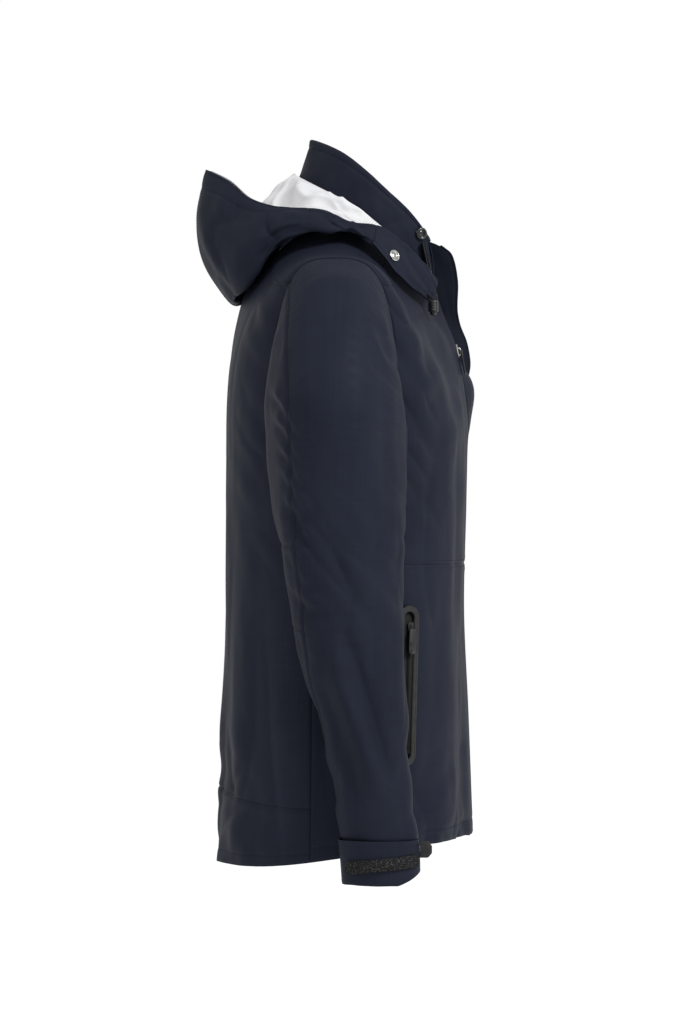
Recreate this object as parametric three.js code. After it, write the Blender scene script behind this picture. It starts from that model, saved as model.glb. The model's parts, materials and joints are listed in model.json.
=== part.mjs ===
// Foul weather jacket, hanging as if worn, with its hood folded back and its main zip part open.
// Millimetres, +Z up. The front faces -Y and the wearer's right is -X.
// The origin is the underside of the hanger loop, at the back of the neck.
import * as THREE from 'three';
import { mergeVertices } from 'three/addons/utils/BufferGeometryUtils.js';

// Body
const MID_Y = -37;            // depth of the widest section
const SIDE_X = 199.4;         // flat side of the body, where the sleeves meet it
const GIRTH_X = 212;          // half width of the full section that the sides cut flat
const ARMPIT_Z = -230;
const SHELL = 2.6;            // outer fabric with its seams
const LINING = 1.6;
const LINING_DEPTH = 9;       // the lining hangs this far inside the outer face
const SEAM_GAP = 0.5;
const TAIL_SEAM_Z = -600;
const SECTION_POWER = 2.6;
const FRONT_ARCH = 1.53;
const BACK_ARCH = 2.2;
const YOKE_SHARE = 0.85;      // share of the way from armpit to shoulder where the yoke starts
const YOKE_NECK_X = 79;
const ZIP_EDGE_X = 7;         // front edge of each front panel beside the closed zip

// Sleeves
const SLEEVE_X = 200.6;       // inner face of the sleeve head
const HEAD_BASE_Z = -226;     // lowest point of the sleeve head
const HEAD_REACH = 108;       // how far the sleeve stands out at underarm level
const OUTER_SEAM = 128;       // degrees round the sleeve from its front
const INNER_SEAM = 205;
const SLEEVE_LINING_DEPTH = 7.4;
const CUFF_SEAM_Z = -642;
const CUFF_THICK = 3;
const STRIP_HEIGHT = 13;
const STRIP_MIDDLE_Z = -664.5;
const STRIP_SLOPE = 0.1;      // the strip rises to the front

// Zips
const TAPE_WIDTH = 17;
const ZIP_TOP = new THREE.Vector3(0, -153, -140);
const ZIP_TURN = new THREE.Vector3(0, -165.5, -216);
const SLIDER = { width: 10.5, height: 14, plate: 1.8, depth: 9.8, top: 1.4 };
const SLIDER_DROP = 8.5;      // the main slider's middle below the point where the rows of teeth meet
const PULLER = { width: 7, length: 26, thick: 2, above: 1.6 };   // above: past its hinge line
const POCKET = { top: -411, bottom: -572, topX: 190.5, bottomX: 196, width: 24, window: 12 };
const POCKET_SLIDER = [7, 11, 2.2];
const POCKET_PULLER = { width: 8.5, length: 26, thick: 1.8, above: 1.2 };

// Hood stations run from 0 at the middle of the back to 1 at the front corner
const HOOD_BACK_END = 0.4;
const HOOD_SIDE_END = 0.7;
const HOOD_GAP = 0.004;       // half of the gap between the back and each side
const FLAP_GAP = 0.0095;      // half of the gap between each side and its flap

// Snaps and cord locks
const SNAP_RADIUS = 6.3;
const LOCK = { radius: 5.2, length: 12, button: 3.4 };

const NAVY = { color: 0x2b2f3c, roughness: 0.75, metalness: 0 };
const NAVY_DARK = { color: 0x22252f, roughness: 0.8, metalness: 0 };
const WHITE_MESH = { color: 0xe9e9ec, roughness: 0.85, metalness: 0 };
const TAPE = { color: 0x323232, roughness: 0.8, metalness: 0 };
const BLACK = { color: 0x18181a, roughness: 0.5, metalness: 0 };
const STEEL = { color: 0xb9bbbd, roughness: 0.3, metalness: 1 };

const group = new THREE.Group();
const UP = new THREE.Vector3(0, 0, 1);
const { lerp, clamp, degToRad } = THREE.MathUtils;

function addPiece(name, geometry, finish, place = new THREE.Matrix4()) {
  const mesh = new THREE.Mesh(geometry, new THREE.MeshStandardMaterial(finish));
  mesh.name = name;
  mesh.applyMatrix4(place);
  group.add(mesh);
}

function signedVolume(points, faces) {
  const at = (k) => new THREE.Vector3().fromArray(points, faces[k] * 3);
  let total = 0;
  for (let k = 0; k < faces.length; k += 3) {
    total += at(k).dot(at(k + 1).cross(at(k + 2))) / 6;
  }
  return total;
}

// A closed sheet between two depths of surface(u, v, depth). A ring joins its first and last u.
function sheet(surface, u, v, steps, depths, ring = false) {
  const columns = ring ? steps[0] : steps[0] + 1;
  const rows = steps[1] + 1;
  const points = [];
  const faces = [];
  for (const depth of depths) {
    for (let i = 0; i < columns; i += 1) {
      for (let j = 0; j < rows; j += 1) {
        const point = surface(lerp(u[0], u[1], i / steps[0]), lerp(v[0], v[1], j / steps[1]), depth);
        points.push(point.x, point.y, point.z);
      }
    }
  }
  const at = (layer, i, j) => layer * columns * rows + (i % columns) * rows + j;
  const quad = (a, b, c, d) => faces.push(a, b, c, a, c, d);
  for (let i = 0; i < steps[0]; i += 1) {
    for (let j = 0; j < steps[1]; j += 1) {
      quad(at(0, i, j), at(0, i + 1, j), at(0, i + 1, j + 1), at(0, i, j + 1));
      quad(at(1, i, j + 1), at(1, i + 1, j + 1), at(1, i + 1, j), at(1, i, j));
    }
    quad(at(1, i, 0), at(1, i + 1, 0), at(0, i + 1, 0), at(0, i, 0));
    quad(at(0, i, rows - 1), at(0, i + 1, rows - 1), at(1, i + 1, rows - 1), at(1, i, rows - 1));
  }
  if (!ring) {
    for (let j = 0; j < steps[1]; j += 1) {
      quad(at(0, 0, j), at(0, 0, j + 1), at(1, 0, j + 1), at(1, 0, j));
      quad(at(1, steps[0], j), at(1, steps[0], j + 1), at(0, steps[0], j + 1), at(0, steps[0], j));
    }
  }
  return closedGeometry(points, faces);
}

function closedGeometry(points, faces) {
  const outward = signedVolume(points, faces) > 0 ? faces : faces.slice().reverse();
  const geometry = new THREE.BufferGeometry();
  geometry.setAttribute('position', new THREE.Float32BufferAttribute(points, 3));
  geometry.setIndex(outward);
  return geometry;
}

// Joins a three.js solid's shared corners and turns its faces outwards
function welded(geometry) {
  geometry.deleteAttribute('normal');
  geometry.deleteAttribute('uv');
  const merged = mergeVertices(geometry, 1e-4);
  const faces = Array.from(merged.index.array);
  const kept = [];
  for (let k = 0; k < faces.length; k += 3) {
    const [a, b, c] = faces.slice(k, k + 3);
    if (a !== b && b !== c && c !== a) kept.push(a, b, c);
  }
  return closedGeometry(Array.from(merged.attributes.position.array), kept);
}

// Straight lines through [position, value] pairs listed in rising order.
function through(...pairs) {
  return (position) => {
    let k = 0;
    while (k < pairs.length - 2 && position > pairs[k + 1][0]) k += 1;
    const share = (position - pairs[k][0]) / (pairs[k + 1][0] - pairs[k][0]);
    return lerp(pairs[k][1], pairs[k + 1][1], clamp(share, 0, 1));
  };
}

function smoothCurve(...points) {
  return new THREE.CatmullRomCurve3(points.map((p) => new THREE.Vector3(...p)));
}

// Half of a curve that is symmetric about X = 0: share runs 0 at the middle to 1 at its end
function halfCurve(...points) {
  const other = points.slice(1).reverse().map(([x, y, z]) => [-x, y, z]);
  const whole = smoothCurve(...other, ...points);
  return { getPoint: (share) => whole.getPoint(0.5 + share / 2) };
}

function mirrored(point, side) {
  return new THREE.Vector3(point.x * -side, point.y, point.z);
}

// side is -1 on the wearer's right and +1 on the left
const SIDES = [['right', -1], ['left', 1]];

const frontY = through([-660, -171], [-525, -166], [-420, -161.5], [-300, -164], [-230, -164.5]);
const backY = through([-690, 102], [-600, 97], [-525, 94], [-370, 90.7], [-230, 90]);
const ridgeZ = through([0, 12], [45, 0], [75, -22], [110, -44], [150, -54], [200, -62]);
const frontEdgeX = through([-152, ZIP_EDGE_X], [-140, 14], [-116, 27], [-86, 44], [-60, 56]);
const edgeFlare = through([-230, 0], [-200, 3], [-140, 7], [-116, 8], [-86, 15]);

function archShare(z, x, power) {
  const rise = clamp((z - ARMPIT_Z) / (ridgeZ(Math.abs(x)) - ARMPIT_Z), 0, 1);
  return [rise, (1 - rise ** power) ** (1 / power)];
}

function sectionShare(x) {
  return (1 - Math.abs(x / GIRTH_X) ** SECTION_POWER) ** (1 / SECTION_POWER);
}

// A point of the body front (way = -1) or back (way = +1) at width x and height z
function wallPoint(way, x, z, depth) {
  const [rise, thin] = archShare(z, x, way < 0 ? FRONT_ARCH : BACK_ARCH);
  const half = Math.abs((way < 0 ? frontY(z) : backY(z)) - MID_Y);
  const beside = Math.max(0, 1 - (Math.abs(x) - frontEdgeX(z)) / 45);
  const flare = way < 0 ? edgeFlare(z) * beside ** 2 : 0;
  const reach = half * sectionShare(x) * thin + flare - depth * (1 - 0.35 * rise);
  return new THREE.Vector3(x * (1 - depth / GIRTH_X), MID_Y + way * reach, z - depth * rise * 0.6);
}

function hemZ(y) {
  return -652 - 29 * THREE.MathUtils.smoothstep(y, -165, 70);
}

// share runs 0 to 1 from the zip edge to the side; lift runs 0 to 1 from the hem to the top edge
function frontWall(side, edgeX) {
  const topZ = (share) => {
    const x = lerp(44, SIDE_X, share);
    return Math.min(-86 + (x - 44) * 1.1, ARMPIT_Z + (YOKE_SHARE - 0.012) * (ridgeZ(x) - ARMPIT_Z)) - 1.2;
  };
  return (share, lift, depth) => {
    const low = hemZ(wallPoint(-1, lerp(10, SIDE_X, share), -640, 0).y);
    const z = low + (topZ(share) - low) * lift;
    const start = Math.max(edgeX, frontEdgeX(z) + edgeX - ZIP_EDGE_X);
    return wallPoint(-1, side * lerp(start, SIDE_X, share), z, depth);
  };
}

function backWall(bottomZ) {
  const topShare = through([0, 0.9], [50, 0.9], [74, YOKE_SHARE], [200, YOKE_SHARE]);
  return (share, lift, depth) => {
    const x = share * SIDE_X;
    const top = ARMPIT_Z + topShare(Math.abs(x)) * (ridgeZ(Math.abs(x)) - ARMPIT_Z);
    const low = bottomZ ?? hemZ(wallPoint(1, x, -640, 0).y);
    return wallPoint(1, x, lerp(low, top, lift), depth);
  };
}

function tailWall(share, lift, depth) {
  const x = share * SIDE_X;
  const low = hemZ(wallPoint(1, x, -640, 0).y);
  return wallPoint(1, x, lerp(low, TAIL_SEAM_Z - SEAM_GAP, lift), depth);
}

function sideWall(side) {
  const corner = sectionShare(SIDE_X);
  return (share, lift, depth) => {
    const way = share < 0 ? -1 : 1;
    const half = (z) => Math.abs((way < 0 ? frontY(z) : backY(z)) - MID_Y) - depth;
    const yAt = (z) => MID_Y + share * half(z) * corner;
    const z = lerp(hemZ(yAt(-640)), ARMPIT_Z - 1, lift);
    return new THREE.Vector3(side * (SIDE_X - depth * SIDE_X / GIRTH_X), yAt(z), z);
  };
}

// The yoke runs over the shoulder from the front wall (turn 0) to the back wall (turn 1).
function yokeWall(side) {
  const edge = Math.asin(YOKE_SHARE + 0.012);
  return (share, turn, depth) => {
    const angle = lerp(edge, Math.PI - edge, turn);
    const x = lerp(YOKE_NECK_X, SIDE_X, share);
    const way = turn < 0.5 ? -1 : 1;
    const z = ARMPIT_Z + Math.sin(angle) * (ridgeZ(x) - ARMPIT_Z);
    return wallPoint(way, side * x, Math.min(z, ridgeZ(x) - 0.01), depth);
  };
}

function addBody() {
  const shell = [0, SHELL];
  for (const [word, side] of SIDES) {
    addPiece(`${word}_front_panel`,
      sheet(frontWall(side, ZIP_EDGE_X), [0, 0.997], [0, 1], [9, 12], shell), NAVY);
    addPiece(`${word}_side_panel`, sheet(sideWall(side), [-0.99, 0.99], [0, 1], [4, 6], shell), NAVY);
    addPiece(`${word}_shoulder_yoke`, sheet(yokeWall(side), [0, 1], [0, 1], [6, 10], shell), NAVY);
    addPiece(`${word}_front_lining`,
      sheet(frontWall(side, 26), [0, 0.93], [0.03, 0.94], [7, 8], [LINING_DEPTH, LINING_DEPTH + LINING]),
      WHITE_MESH);
  }
  addPiece('back_panel', sheet(backWall(TAIL_SEAM_Z), [-0.997, 0.997], [0, 1], [16, 10], shell), NAVY);
  addPiece('back_tail_panel', sheet(tailWall, [-0.997, 0.997], [0, 1], [16, 2], shell), NAVY);
  addPiece('back_lining',
    sheet(backWall(null), [-0.92, 0.92], [0.03, 0.96], [12, 8], [LINING_DEPTH, LINING_DEPTH + LINING]),
    WHITE_MESH);
}

// Collar: half outlines from the back of the neck to the front edge, at the neck seam and at the top
const NECK_LINE = halfCurve([0, 21, -1], [-34, 15, -3], [-60, -6, -9], [-73, -40, -20], [-72, -78, -44],
  [-57, -112, -70], [-35, -134, -84]);
const COLLAR_TOP = halfCurve([0, 1, 71], [-35, -20, 62], [-55, -40, 51], [-65, -62, 34], [-67, -83, 15],
  [-61, -106, -6], [-50, -127, -32]);
const NECK_CENTRE = new THREE.Vector3(0, -55, 0);

function neckOutward(point) {
  return point.clone().sub(NECK_CENTRE).setZ(0).normalize();
}

// around runs -1 to 1 from the right front edge to the left; depth is inward
function collarWall(around, lift, depth) {
  const share = Math.abs(around);
  const base = NECK_LINE.getPoint(share);
  const top = COLLAR_TOP.getPoint(share);
  const point = base.add(UP.clone().multiplyScalar(1.5)).lerp(top, lift);
  point.addScaledVector(neckOutward(point), -depth);
  return around > 0 ? mirrored(point, 1) : point;
}

function addCollar() {
  addPiece('collar_outer', sheet(collarWall, [-0.87, 0.87], [0, 1], [24, 2], [0, 2.2]), NAVY);
  addPiece('collar_facing', sheet(collarWall, [-0.86, 0.86], [0.02, 0.97], [24, 2], [4.4, 5.8]), NAVY_DARK);
  const path = smoothCurve([-25, 14, -14], [-18, 5, 0], [0, 1, 4], [18, 5, 0], [25, 14, -14]);
  const strap = flatShape([[-4, -0.8], [4, -0.8], [4, 0.8], [-4, 0.8]]);
  addPiece('hanger_loop', extrudeAlong(strap, path, 18), NAVY_DARK);
}

function extrudeAlong(shape, path, steps) {
  const geometry = new THREE.ExtrudeGeometry(shape, { steps, extrudePath: path, bevelEnabled: false });
  return welded(geometry);
}

function lathe(profile, segments = 18) {
  const points = profile.map(([radius, height]) => new THREE.Vector2(radius, height));
  return welded(new THREE.LatheGeometry(points, segments));
}

// Places a piece whose own +Y points along normal, at the given point
function placeAlong(normal, point) {
  const turn = new THREE.Quaternion().setFromUnitVectors(new THREE.Vector3(0, 1, 0), normal);
  return new THREE.Matrix4().compose(point, turn, new THREE.Vector3(1, 1, 1));
}

// Places a piece by its own X (across), Y (along) and Z (out of the face) directions
function placeOnFace(across, along, out, point) {
  return new THREE.Matrix4().makeBasis(across, along, out).setPosition(point);
}

function snapGeometry() {
  return lathe([[0, 0], [SNAP_RADIUS - 1, 0], [SNAP_RADIUS, 0.8], [SNAP_RADIUS - 0.8, 2.2],
    [3.9, 2.2], [3.2, 1.1], [0, 1.1]]);
}

function addSnap(name, surface, around, lift, side) {
  const point = surface(around, lift, 0);
  const across = surface(around + 0.01, lift, 0).sub(point);
  const rise = surface(around, lift + 0.01, 0).sub(point);
  const normal = across.cross(rise).normalize();
  if (normal.dot(new THREE.Vector3(side, -0.6, 0.3)) < 0) normal.negate();
  addPiece(name, snapGeometry(), STEEL, placeAlong(normal, point.addScaledVector(normal, 0.6)));
}

// Hood stations from the middle of the back to the front corner, on the wearer's right
const HOOD_RIM = halfCurve([0, 110, 43], [-40, 86, 30], [-72, 62, 10], [-95, 36, -1], [-103, 15, -4],
  [-108, -20, -7], [-106, -48, -19], [-98, -73, -22], [-90, -92, -32], [-78, -114, -52], [-62, -138, -76]);
const HOOD_LOW = halfCurve([0, 77, -101], [-50, 75, -101], [-87, 60, -86], [-104, 42, -60],
  [-115, 18, -37], [-124, -18, -31], [-124, -48, -31], [-118, -71, -42], [-112, -93, -70],
  [-97, -113, -87], [-77, -129, -100]);
const HOOD_NECK = halfCurve([0, 27, 1], [-34, 21, -1], [-56, 6, -4], [-70, -6, -8], [-78, -20, -12],
  [-83, -34, -17], [-84, -50, -24], [-84, -66, -33]);
const hoodBulge = through([0, 25], [0.2, 15], [0.4, 7], [0.7, 3], [1, 2]);
const HOOD_CENTRE = new THREE.Vector3(0, -20, 0);

function hoodOutward(point) {
  return point.clone().sub(HOOD_CENTRE).setZ(0).normalize();
}

// turn runs 0 to 1 from the rim down the outside to the lowest fold, then to 2 back under to the neck
function hoodShell(around, turn, depth) {
  const station = Math.abs(around);
  const rim = HOOD_RIM.getPoint(station);
  const low = HOOD_LOW.getPoint(station);
  const outward = hoodOutward(rim.clone().add(low));
  const neck = HOOD_NECK.getPoint(station / HOOD_SIDE_END);
  const point = turn <= 1 ? rim.lerp(low, turn) : low.lerp(neck, turn - 1);
  const bulge = turn <= 1 ? hoodBulge(station) : 5;
  point.addScaledVector(outward, bulge * Math.sin(Math.PI * (turn % 1)));
  const roll = Math.PI * clamp((turn - 0.6) / 0.8, 0, 1);
  point.addScaledVector(outward, -depth * Math.cos(roll)).addScaledVector(UP, depth * Math.sin(roll));
  return around > 0 ? mirrored(point, 1) : point;
}

// The bowl of the hood: turn runs 0 to 1 from the collar down and out to the rim
function hoodBowl(around, turn, depth) {
  const station = Math.abs(around);
  const rim = HOOD_RIM.getPoint(station);
  const outward = hoodOutward(rim);
  rim.addScaledVector(outward, -8).addScaledVector(UP, -1);
  const collarShare = lerp(0, 0.66, station / HOOD_SIDE_END);
  const hold = collarWall(-collarShare, lerp(0.52, 0.3, station / HOOD_SIDE_END), -5);
  const point = hold.lerp(rim, turn);
  point.addScaledVector(UP, -hoodSag(station) * Math.sin(Math.PI * turn));
  point.addScaledVector(outward, -depth * Math.cos(Math.PI * turn));
  point.addScaledVector(UP, -depth * Math.sin(Math.PI * turn));
  return around > 0 ? mirrored(point, 1) : point;
}

const hoodSag = through([0, 44], [0.2, 30], [0.4, 9], [0.7, 3]);

function addHood() {
  const back = HOOD_BACK_END - HOOD_GAP;
  addPiece('hood_back_shell', sheet(hoodShell, [-back, back], [0, 1.93], [22, 12], [0, SHELL]), NAVY);
  addPiece('hood_back_lining', sheet(hoodBowl, [-back, back], [0, 1], [22, 7], [0, LINING]), WHITE_MESH);
  for (const [word, side] of SIDES) {
    const sideSpan = [side * (HOOD_BACK_END + HOOD_GAP), side * (HOOD_SIDE_END - FLAP_GAP)];
    const flapSpan = [side * (HOOD_SIDE_END + FLAP_GAP), side];
    addPiece(`${word}_hood_side`, sheet(hoodShell, sideSpan, [0, 1.9], [7, 8], [0, SHELL]), NAVY);
    addPiece(`${word}_hood_side_lining`, sheet(hoodBowl, sideSpan, [0, 1], [7, 4], [0, LINING]), WHITE_MESH);
    addPiece(`${word}_hood_flap`, sheet(hoodShell, flapSpan, [0, 1], [8, 4], [0, SHELL + 0.6]), NAVY);
    addSnap(`${word}_hood_snap`, hoodShell, side * 0.79, 0.66, side);
    addSnap(`${word}_collar_snap`, collarWall, side * 0.92, 0.84, side);
  }
}

// Sleeve: vertical stations from the armhole (0) round the shoulder (1) to the cuff edge (2)
const sleeveY = through([-690, -86], [-650, -84], [-551, -71.5], [-453, -57], [-354, -48], [-256, -41],
  [-157, -39]);
const sleeveHalfY = through([-690, 39], [-650, 40], [-551, 43], [-453, 53], [-354, 61], [-256, 67],
  [-200, 67]);
const sleeveHalfX = through([-690, 37], [-650, 38], [-551, 43], [-453, 49], [-354, 54]);
const sleeveMidX = through([-690, 250], [-551, 253], [-354, 258]);

function sleeveHead(share, angle, depth) {
  const lean = share * Math.PI / 2;
  const halfY = lerp(61, 67, share) - depth;
  const height = lerp(-63 - HEAD_BASE_Z, HEAD_REACH, share) - depth;
  const power = lerp(1.75, 2, share);
  const cosine = Math.cos(angle);
  const y = lerp(MID_Y, -40, share) - halfY * Math.sign(cosine) * Math.abs(cosine) ** (2 / power);
  const sine = Math.sin(angle);
  const out = sine > 0 ? height * sine ** (2 / power) : (6 - depth) * sine;
  const radius = (out + 9) * (1 - 0.1 * Math.sin(2 * lean));
  return new THREE.Vector3(SLEEVE_X + 2 + radius * Math.sin(lean) - 2 * Math.cos(lean), y,
    HEAD_BASE_Z - 9 + radius * Math.cos(lean));
}

function sleeveTube(z, angle, depth) {
  const round = clamp((HEAD_BASE_Z - 9 - z) / 120, 0, 1);
  const halfX = sleeveHalfX(z);
  const base = lerp(SLEEVE_X + 11, sleeveMidX(z), round);
  const reach = lerp(HEAD_REACH, halfX, round) - depth;
  const inner = lerp(6, halfX, round) - depth;
  const sine = Math.sin(angle);
  return new THREE.Vector3(base + (sine > 0 ? reach : inner) * sine,
    sleeveY(z) - (sleeveHalfY(z) - depth) * Math.cos(angle), z);
}

function cuffEdgeZ(y) {
  return -668 - 15 * clamp((y + 126) / 80, 0, 1);
}

// around: 0 front, 90 outside, 180 back, 270 inside; along: 0 armhole, 1 underarm level, 2 cuff seam
function sleeveWall(side, bottomZ) {
  return (around, along, depth) => {
    const angle = degToRad(around);
    const low = bottomZ ?? cuffEdgeZ(sleeveTube(-670, angle, 0).y);
    const point = along <= 1 ? sleeveHead(along, angle, depth)
      : sleeveTube(lerp(HEAD_BASE_Z - 9, low, along - 1), angle, depth);
    return point.setX(point.x * side);
  };
}

function cuffWall(side) {
  return (around, share, depth) => {
    const angle = degToRad(around);
    const low = cuffEdgeZ(sleeveTube(-670, angle, 0).y);
    const point = sleeveTube(lerp(CUFF_SEAM_Z - SEAM_GAP, low, share), angle, depth);
    return point.setX(point.x * side);
  };
}

function addSleeve(word, side) {
  const wall = sleeveWall(side, CUFF_SEAM_Z);
  addPiece(`${word}_sleeve_front`,
    sheet(wall, [INNER_SEAM - 360 + 0.5, OUTER_SEAM - 0.5], [0, 2], [15, 11], [0, SHELL]), NAVY);
  addPiece(`${word}_sleeve_back`,
    sheet(wall, [OUTER_SEAM + 0.5, INNER_SEAM - 0.5], [0, 2], [4, 11], [0, SHELL]), NAVY);
  addPiece(`${word}_cuff_band`,
    sheet(cuffWall(side), [0, 360], [0, 1], [20, 1], [0, CUFF_THICK], true), NAVY);
  const depths = [SLEEVE_LINING_DEPTH, SLEEVE_LINING_DEPTH + LINING];
  addPiece(`${word}_sleeve_lining`,
    sheet(sleeveWall(side, -660), [0, 360], [0.1, 2], [14, 8], depths, true), WHITE_MESH);
  addCuffClosure(word, side);
}

// The hook and loop strip wraps round the outside of the cuff in flat facets, rising to the front.
function cuffStrip(side) {
  const middleY = sleeveY(STRIP_MIDDLE_Z);
  return (around, share, depth) => {
    const point = sleeveTube(STRIP_MIDDLE_Z, degToRad(around), depth);
    point.z += (share - 0.5) * STRIP_HEIGHT - STRIP_SLOPE * (point.y - middleY);
    return point.setX(point.x * side);
  };
}

function addCuffClosure(word, side) {
  addPiece(`${word}_cuff_strip`,
    sheet(cuffStrip(side), [20, 160], [0, 1], [7, 1], [-3.2, -1.6]), NAVY_DARK);
  const tab = flatShape([[0, -9], [7, -9], [11, -4], [11, 4], [7, 9], [0, 9]]);
  const geometry = welded(new THREE.ExtrudeGeometry(tab, { depth: 2, bevelEnabled: false }));
  const place = placeOnFace(new THREE.Vector3(0, -1, 0), UP.clone().multiplyScalar(-side),
    new THREE.Vector3(side, 0, 0), new THREE.Vector3(side * 252, -125, -651));
  addPiece(`${word}_cuff_tab`, geometry, BLACK, place);
}

// Main zip: each tape follows its front edge; teeth run along the tape's inner edge.
function zipTape(side, inner, outer) {
  const upper = smoothCurve([-48, -125, -36], [-42, -130, -60], [-31, -136, -88], [-15, -145, -118],
    [0, -153, -140]);
  return (across, along, depth) => {
    const middle = along <= 1 ? upper.getPoint(along) : zipLine(along - 1);
    const tangent = along <= 1 ? upper.getTangent(along) : new THREE.Vector3(0, 0, -1);
    const away = new THREE.Vector3(-1, 0, 0).addScaledVector(tangent, tangent.x).setY(0).normalize();
    const width = Math.min(outer, lerp(12, TAPE_WIDTH, clamp(along * 10 - 9.5, 0, 1)));
    const point = middle.addScaledVector(away, lerp(inner, width, across));
    point.y += depth;
    return side < 0 ? point : mirrored(point, 1);
  };
}

// Straight down to the turn, then along the front edge to the zip's lower end
function zipLine(share) {
  const end = new THREE.Vector3(0, -168, -646);
  if (share <= 0.25) return ZIP_TOP.clone().lerp(ZIP_TURN, share * 4);
  const point = ZIP_TURN.clone().lerp(end, (share - 0.25) / 0.75);
  return point.setY(frontY(point.z) - 0.8);
}

function boxAt(size, centre) {
  return welded(new THREE.BoxGeometry(...size).translate(...centre));
}

function addMainZip() {
  for (const [word, side] of SIDES) {
    addPiece(`${word}_zip_tape`,
      sheet(zipTape(side, 3.8, TAPE_WIDTH), [0, 1], [0, 2], [1, 16], [5, 6]), TAPE);
    addPiece(`${word}_zip_teeth`,
      sheet(zipTape(side, 0.9, 3.3), [0, 1], [0, 2], [1, 16], [2.4, 6]), BLACK);
  }
  addPiece('zip_box', boxAt([11, 4, 9], [0, -166, -651]), STEEL);
  const down = ZIP_TURN.clone().sub(ZIP_TOP).normalize();
  const out = new THREE.Vector3(0, down.z, -down.y).normalize();
  const across = new THREE.Vector3(1, 0, 0);
  const middle = ZIP_TOP.clone().addScaledVector(down, SLIDER_DROP);
  const place = placeOnFace(across, down.clone().negate(), out, middle);
  addPiece('main_slider', sliderGeometry(), STEEL, place);
  const hinge = new THREE.Matrix4().makeTranslation(0, -1, 4.4);
  addPiece('main_puller', pullerGeometry(PULLER), BLACK, place.clone().multiply(hinge));
}

// Two plates joined by a post that runs between the two rows of teeth; +Z is out of the face
function sliderGeometry() {
  const { height, plate, depth, top } = SLIDER;
  const side = SLIDER.width / 2;
  const post = 0.45;
  const bottom = top - depth;
  const outline = [[-side, bottom], [side, bottom], [side, bottom + plate], [post, bottom + plate],
    [post, top - plate], [side, top - plate], [side, top], [-side, top], [-side, top - plate],
    [-post, top - plate], [-post, bottom + plate], [-side, bottom + plate]];
  const geometry = new THREE.ExtrudeGeometry(flatShape(outline), { depth: height, bevelEnabled: false });
  return welded(geometry.translate(0, 0, -height / 2).rotateX(Math.PI / 2));
}

// A flat tab with round ends, its hinge line through the origin along X
function pullerGeometry({ width, length, thick, above }) {
  const outline = roundEnded(width / 2, above, above - length);
  const options = { depth: thick, bevelEnabled: false, curveSegments: 6 };
  return welded(new THREE.ExtrudeGeometry(new THREE.Shape(outline), options).translate(0, 0, -thick / 2));
}

function roundEnded(radius, top, bottom) {
  const outline = new THREE.Path();
  outline.absarc(0, top - radius, radius, 0, Math.PI, false);
  outline.absarc(0, bottom + radius, radius, Math.PI, Math.PI * 2, false);
  return outline.getPoints(6);
}

function flatShape(outline) {
  return new THREE.Shape(outline.map((p) => new THREE.Vector2(...p)));
}

// A pocket's own frame: X across its opening, Y up along it, Z out of the cloth
function pocketPlace(side) {
  const top = wallPoint(-1, side * POCKET.topX, POCKET.top, 0);
  const bottom = wallPoint(-1, side * POCKET.bottomX, POCKET.bottom, 0);
  const along = top.clone().sub(bottom).normalize();
  const inner = wallPoint(-1, side * (POCKET.topX - 2), POCKET.top, 0);
  const outer = wallPoint(-1, side * (POCKET.topX + 2), POCKET.top, 0);
  const out = outer.sub(inner).multiplyScalar(side).cross(along).normalize();
  const across = along.clone().cross(out);
  return placeOnFace(across, along, out, top.addScaledVector(out, 3.2));
}

function addPocket(word, side) {
  const place = pocketPlace(side);
  const length = POCKET.top - POCKET.bottom;
  const reach = POCKET.width / 2;
  const slot = POCKET.window / 2;
  const frame = new THREE.Shape(roundEnded(reach, 0, -length));
  frame.holes.push(new THREE.Path(roundEnded(slot, slot - reach, reach - slot - length)));
  const frameGeometry = new THREE.ExtrudeGeometry(frame, { depth: 1.4, bevelEnabled: false });
  addPiece(`${word}_pocket_frame`, welded(frameGeometry), BLACK, place);
  const coil = flatShape([[-4, -0.5], [4, -0.5], [4, 0.5], [1.5, 0.5], [1.5, 1.3], [-1.5, 1.3],
    [-1.5, 0.5], [-4, 0.5]]);
  const coilGeometry = new THREE.ExtrudeGeometry(coil, { depth: length - 2 * reach, bevelEnabled: false });
  coilGeometry.rotateX(Math.PI / 2).translate(0, -reach, 0.2);
  addPiece(`${word}_pocket_zip`, welded(coilGeometry), TAPE, place);
  addPiece(`${word}_pocket_slider`, boxAt(POCKET_SLIDER, [0, -reach - 10, 3.2]), BLACK, place);
  const hinge = new THREE.Matrix4().makeTranslation(0, -reach - 12, 6.1);
  addPiece(`${word}_pocket_puller`, pullerGeometry(POCKET_PULLER), BLACK, place.clone().multiply(hinge));
  const bag = (share, lift, depth) => {
    return wallPoint(-1, side * lerp(70, 172, share), lerp(-600, -400, lift), depth);
  };
  addPiece(`${word}_pocket_bag`, sheet(bag, [0, 1], [0, 1], [5, 4], [4.6, 6.2]), WHITE_MESH);
}

// Cord lock: a barrel open at its lower end, with a sprung button in it
function addCordLock(word, side) {
  const place = new THREE.Matrix4().makeTranslation(side * 84, -132, -99);
  const { radius, length, button } = LOCK;
  const barrel = lathe([[0, 0], [radius - 1, 0], [radius, -1.5], [radius, -length], [button + 0.5, -length],
    [button + 0.5, -4], [0, -4]], 14);
  addPiece(`${word}_cord_lock_barrel`, barrel.rotateX(Math.PI / 2), BLACK, place);
  const plunger = lathe([[0, -8], [button, -8], [button, -length - 2.5], [button - 1, -length - 3.5],
    [0, -length - 3.5]], 12);
  addPiece(`${word}_cord_lock_button`, plunger.rotateX(Math.PI / 2), BLACK, place);
}

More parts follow.
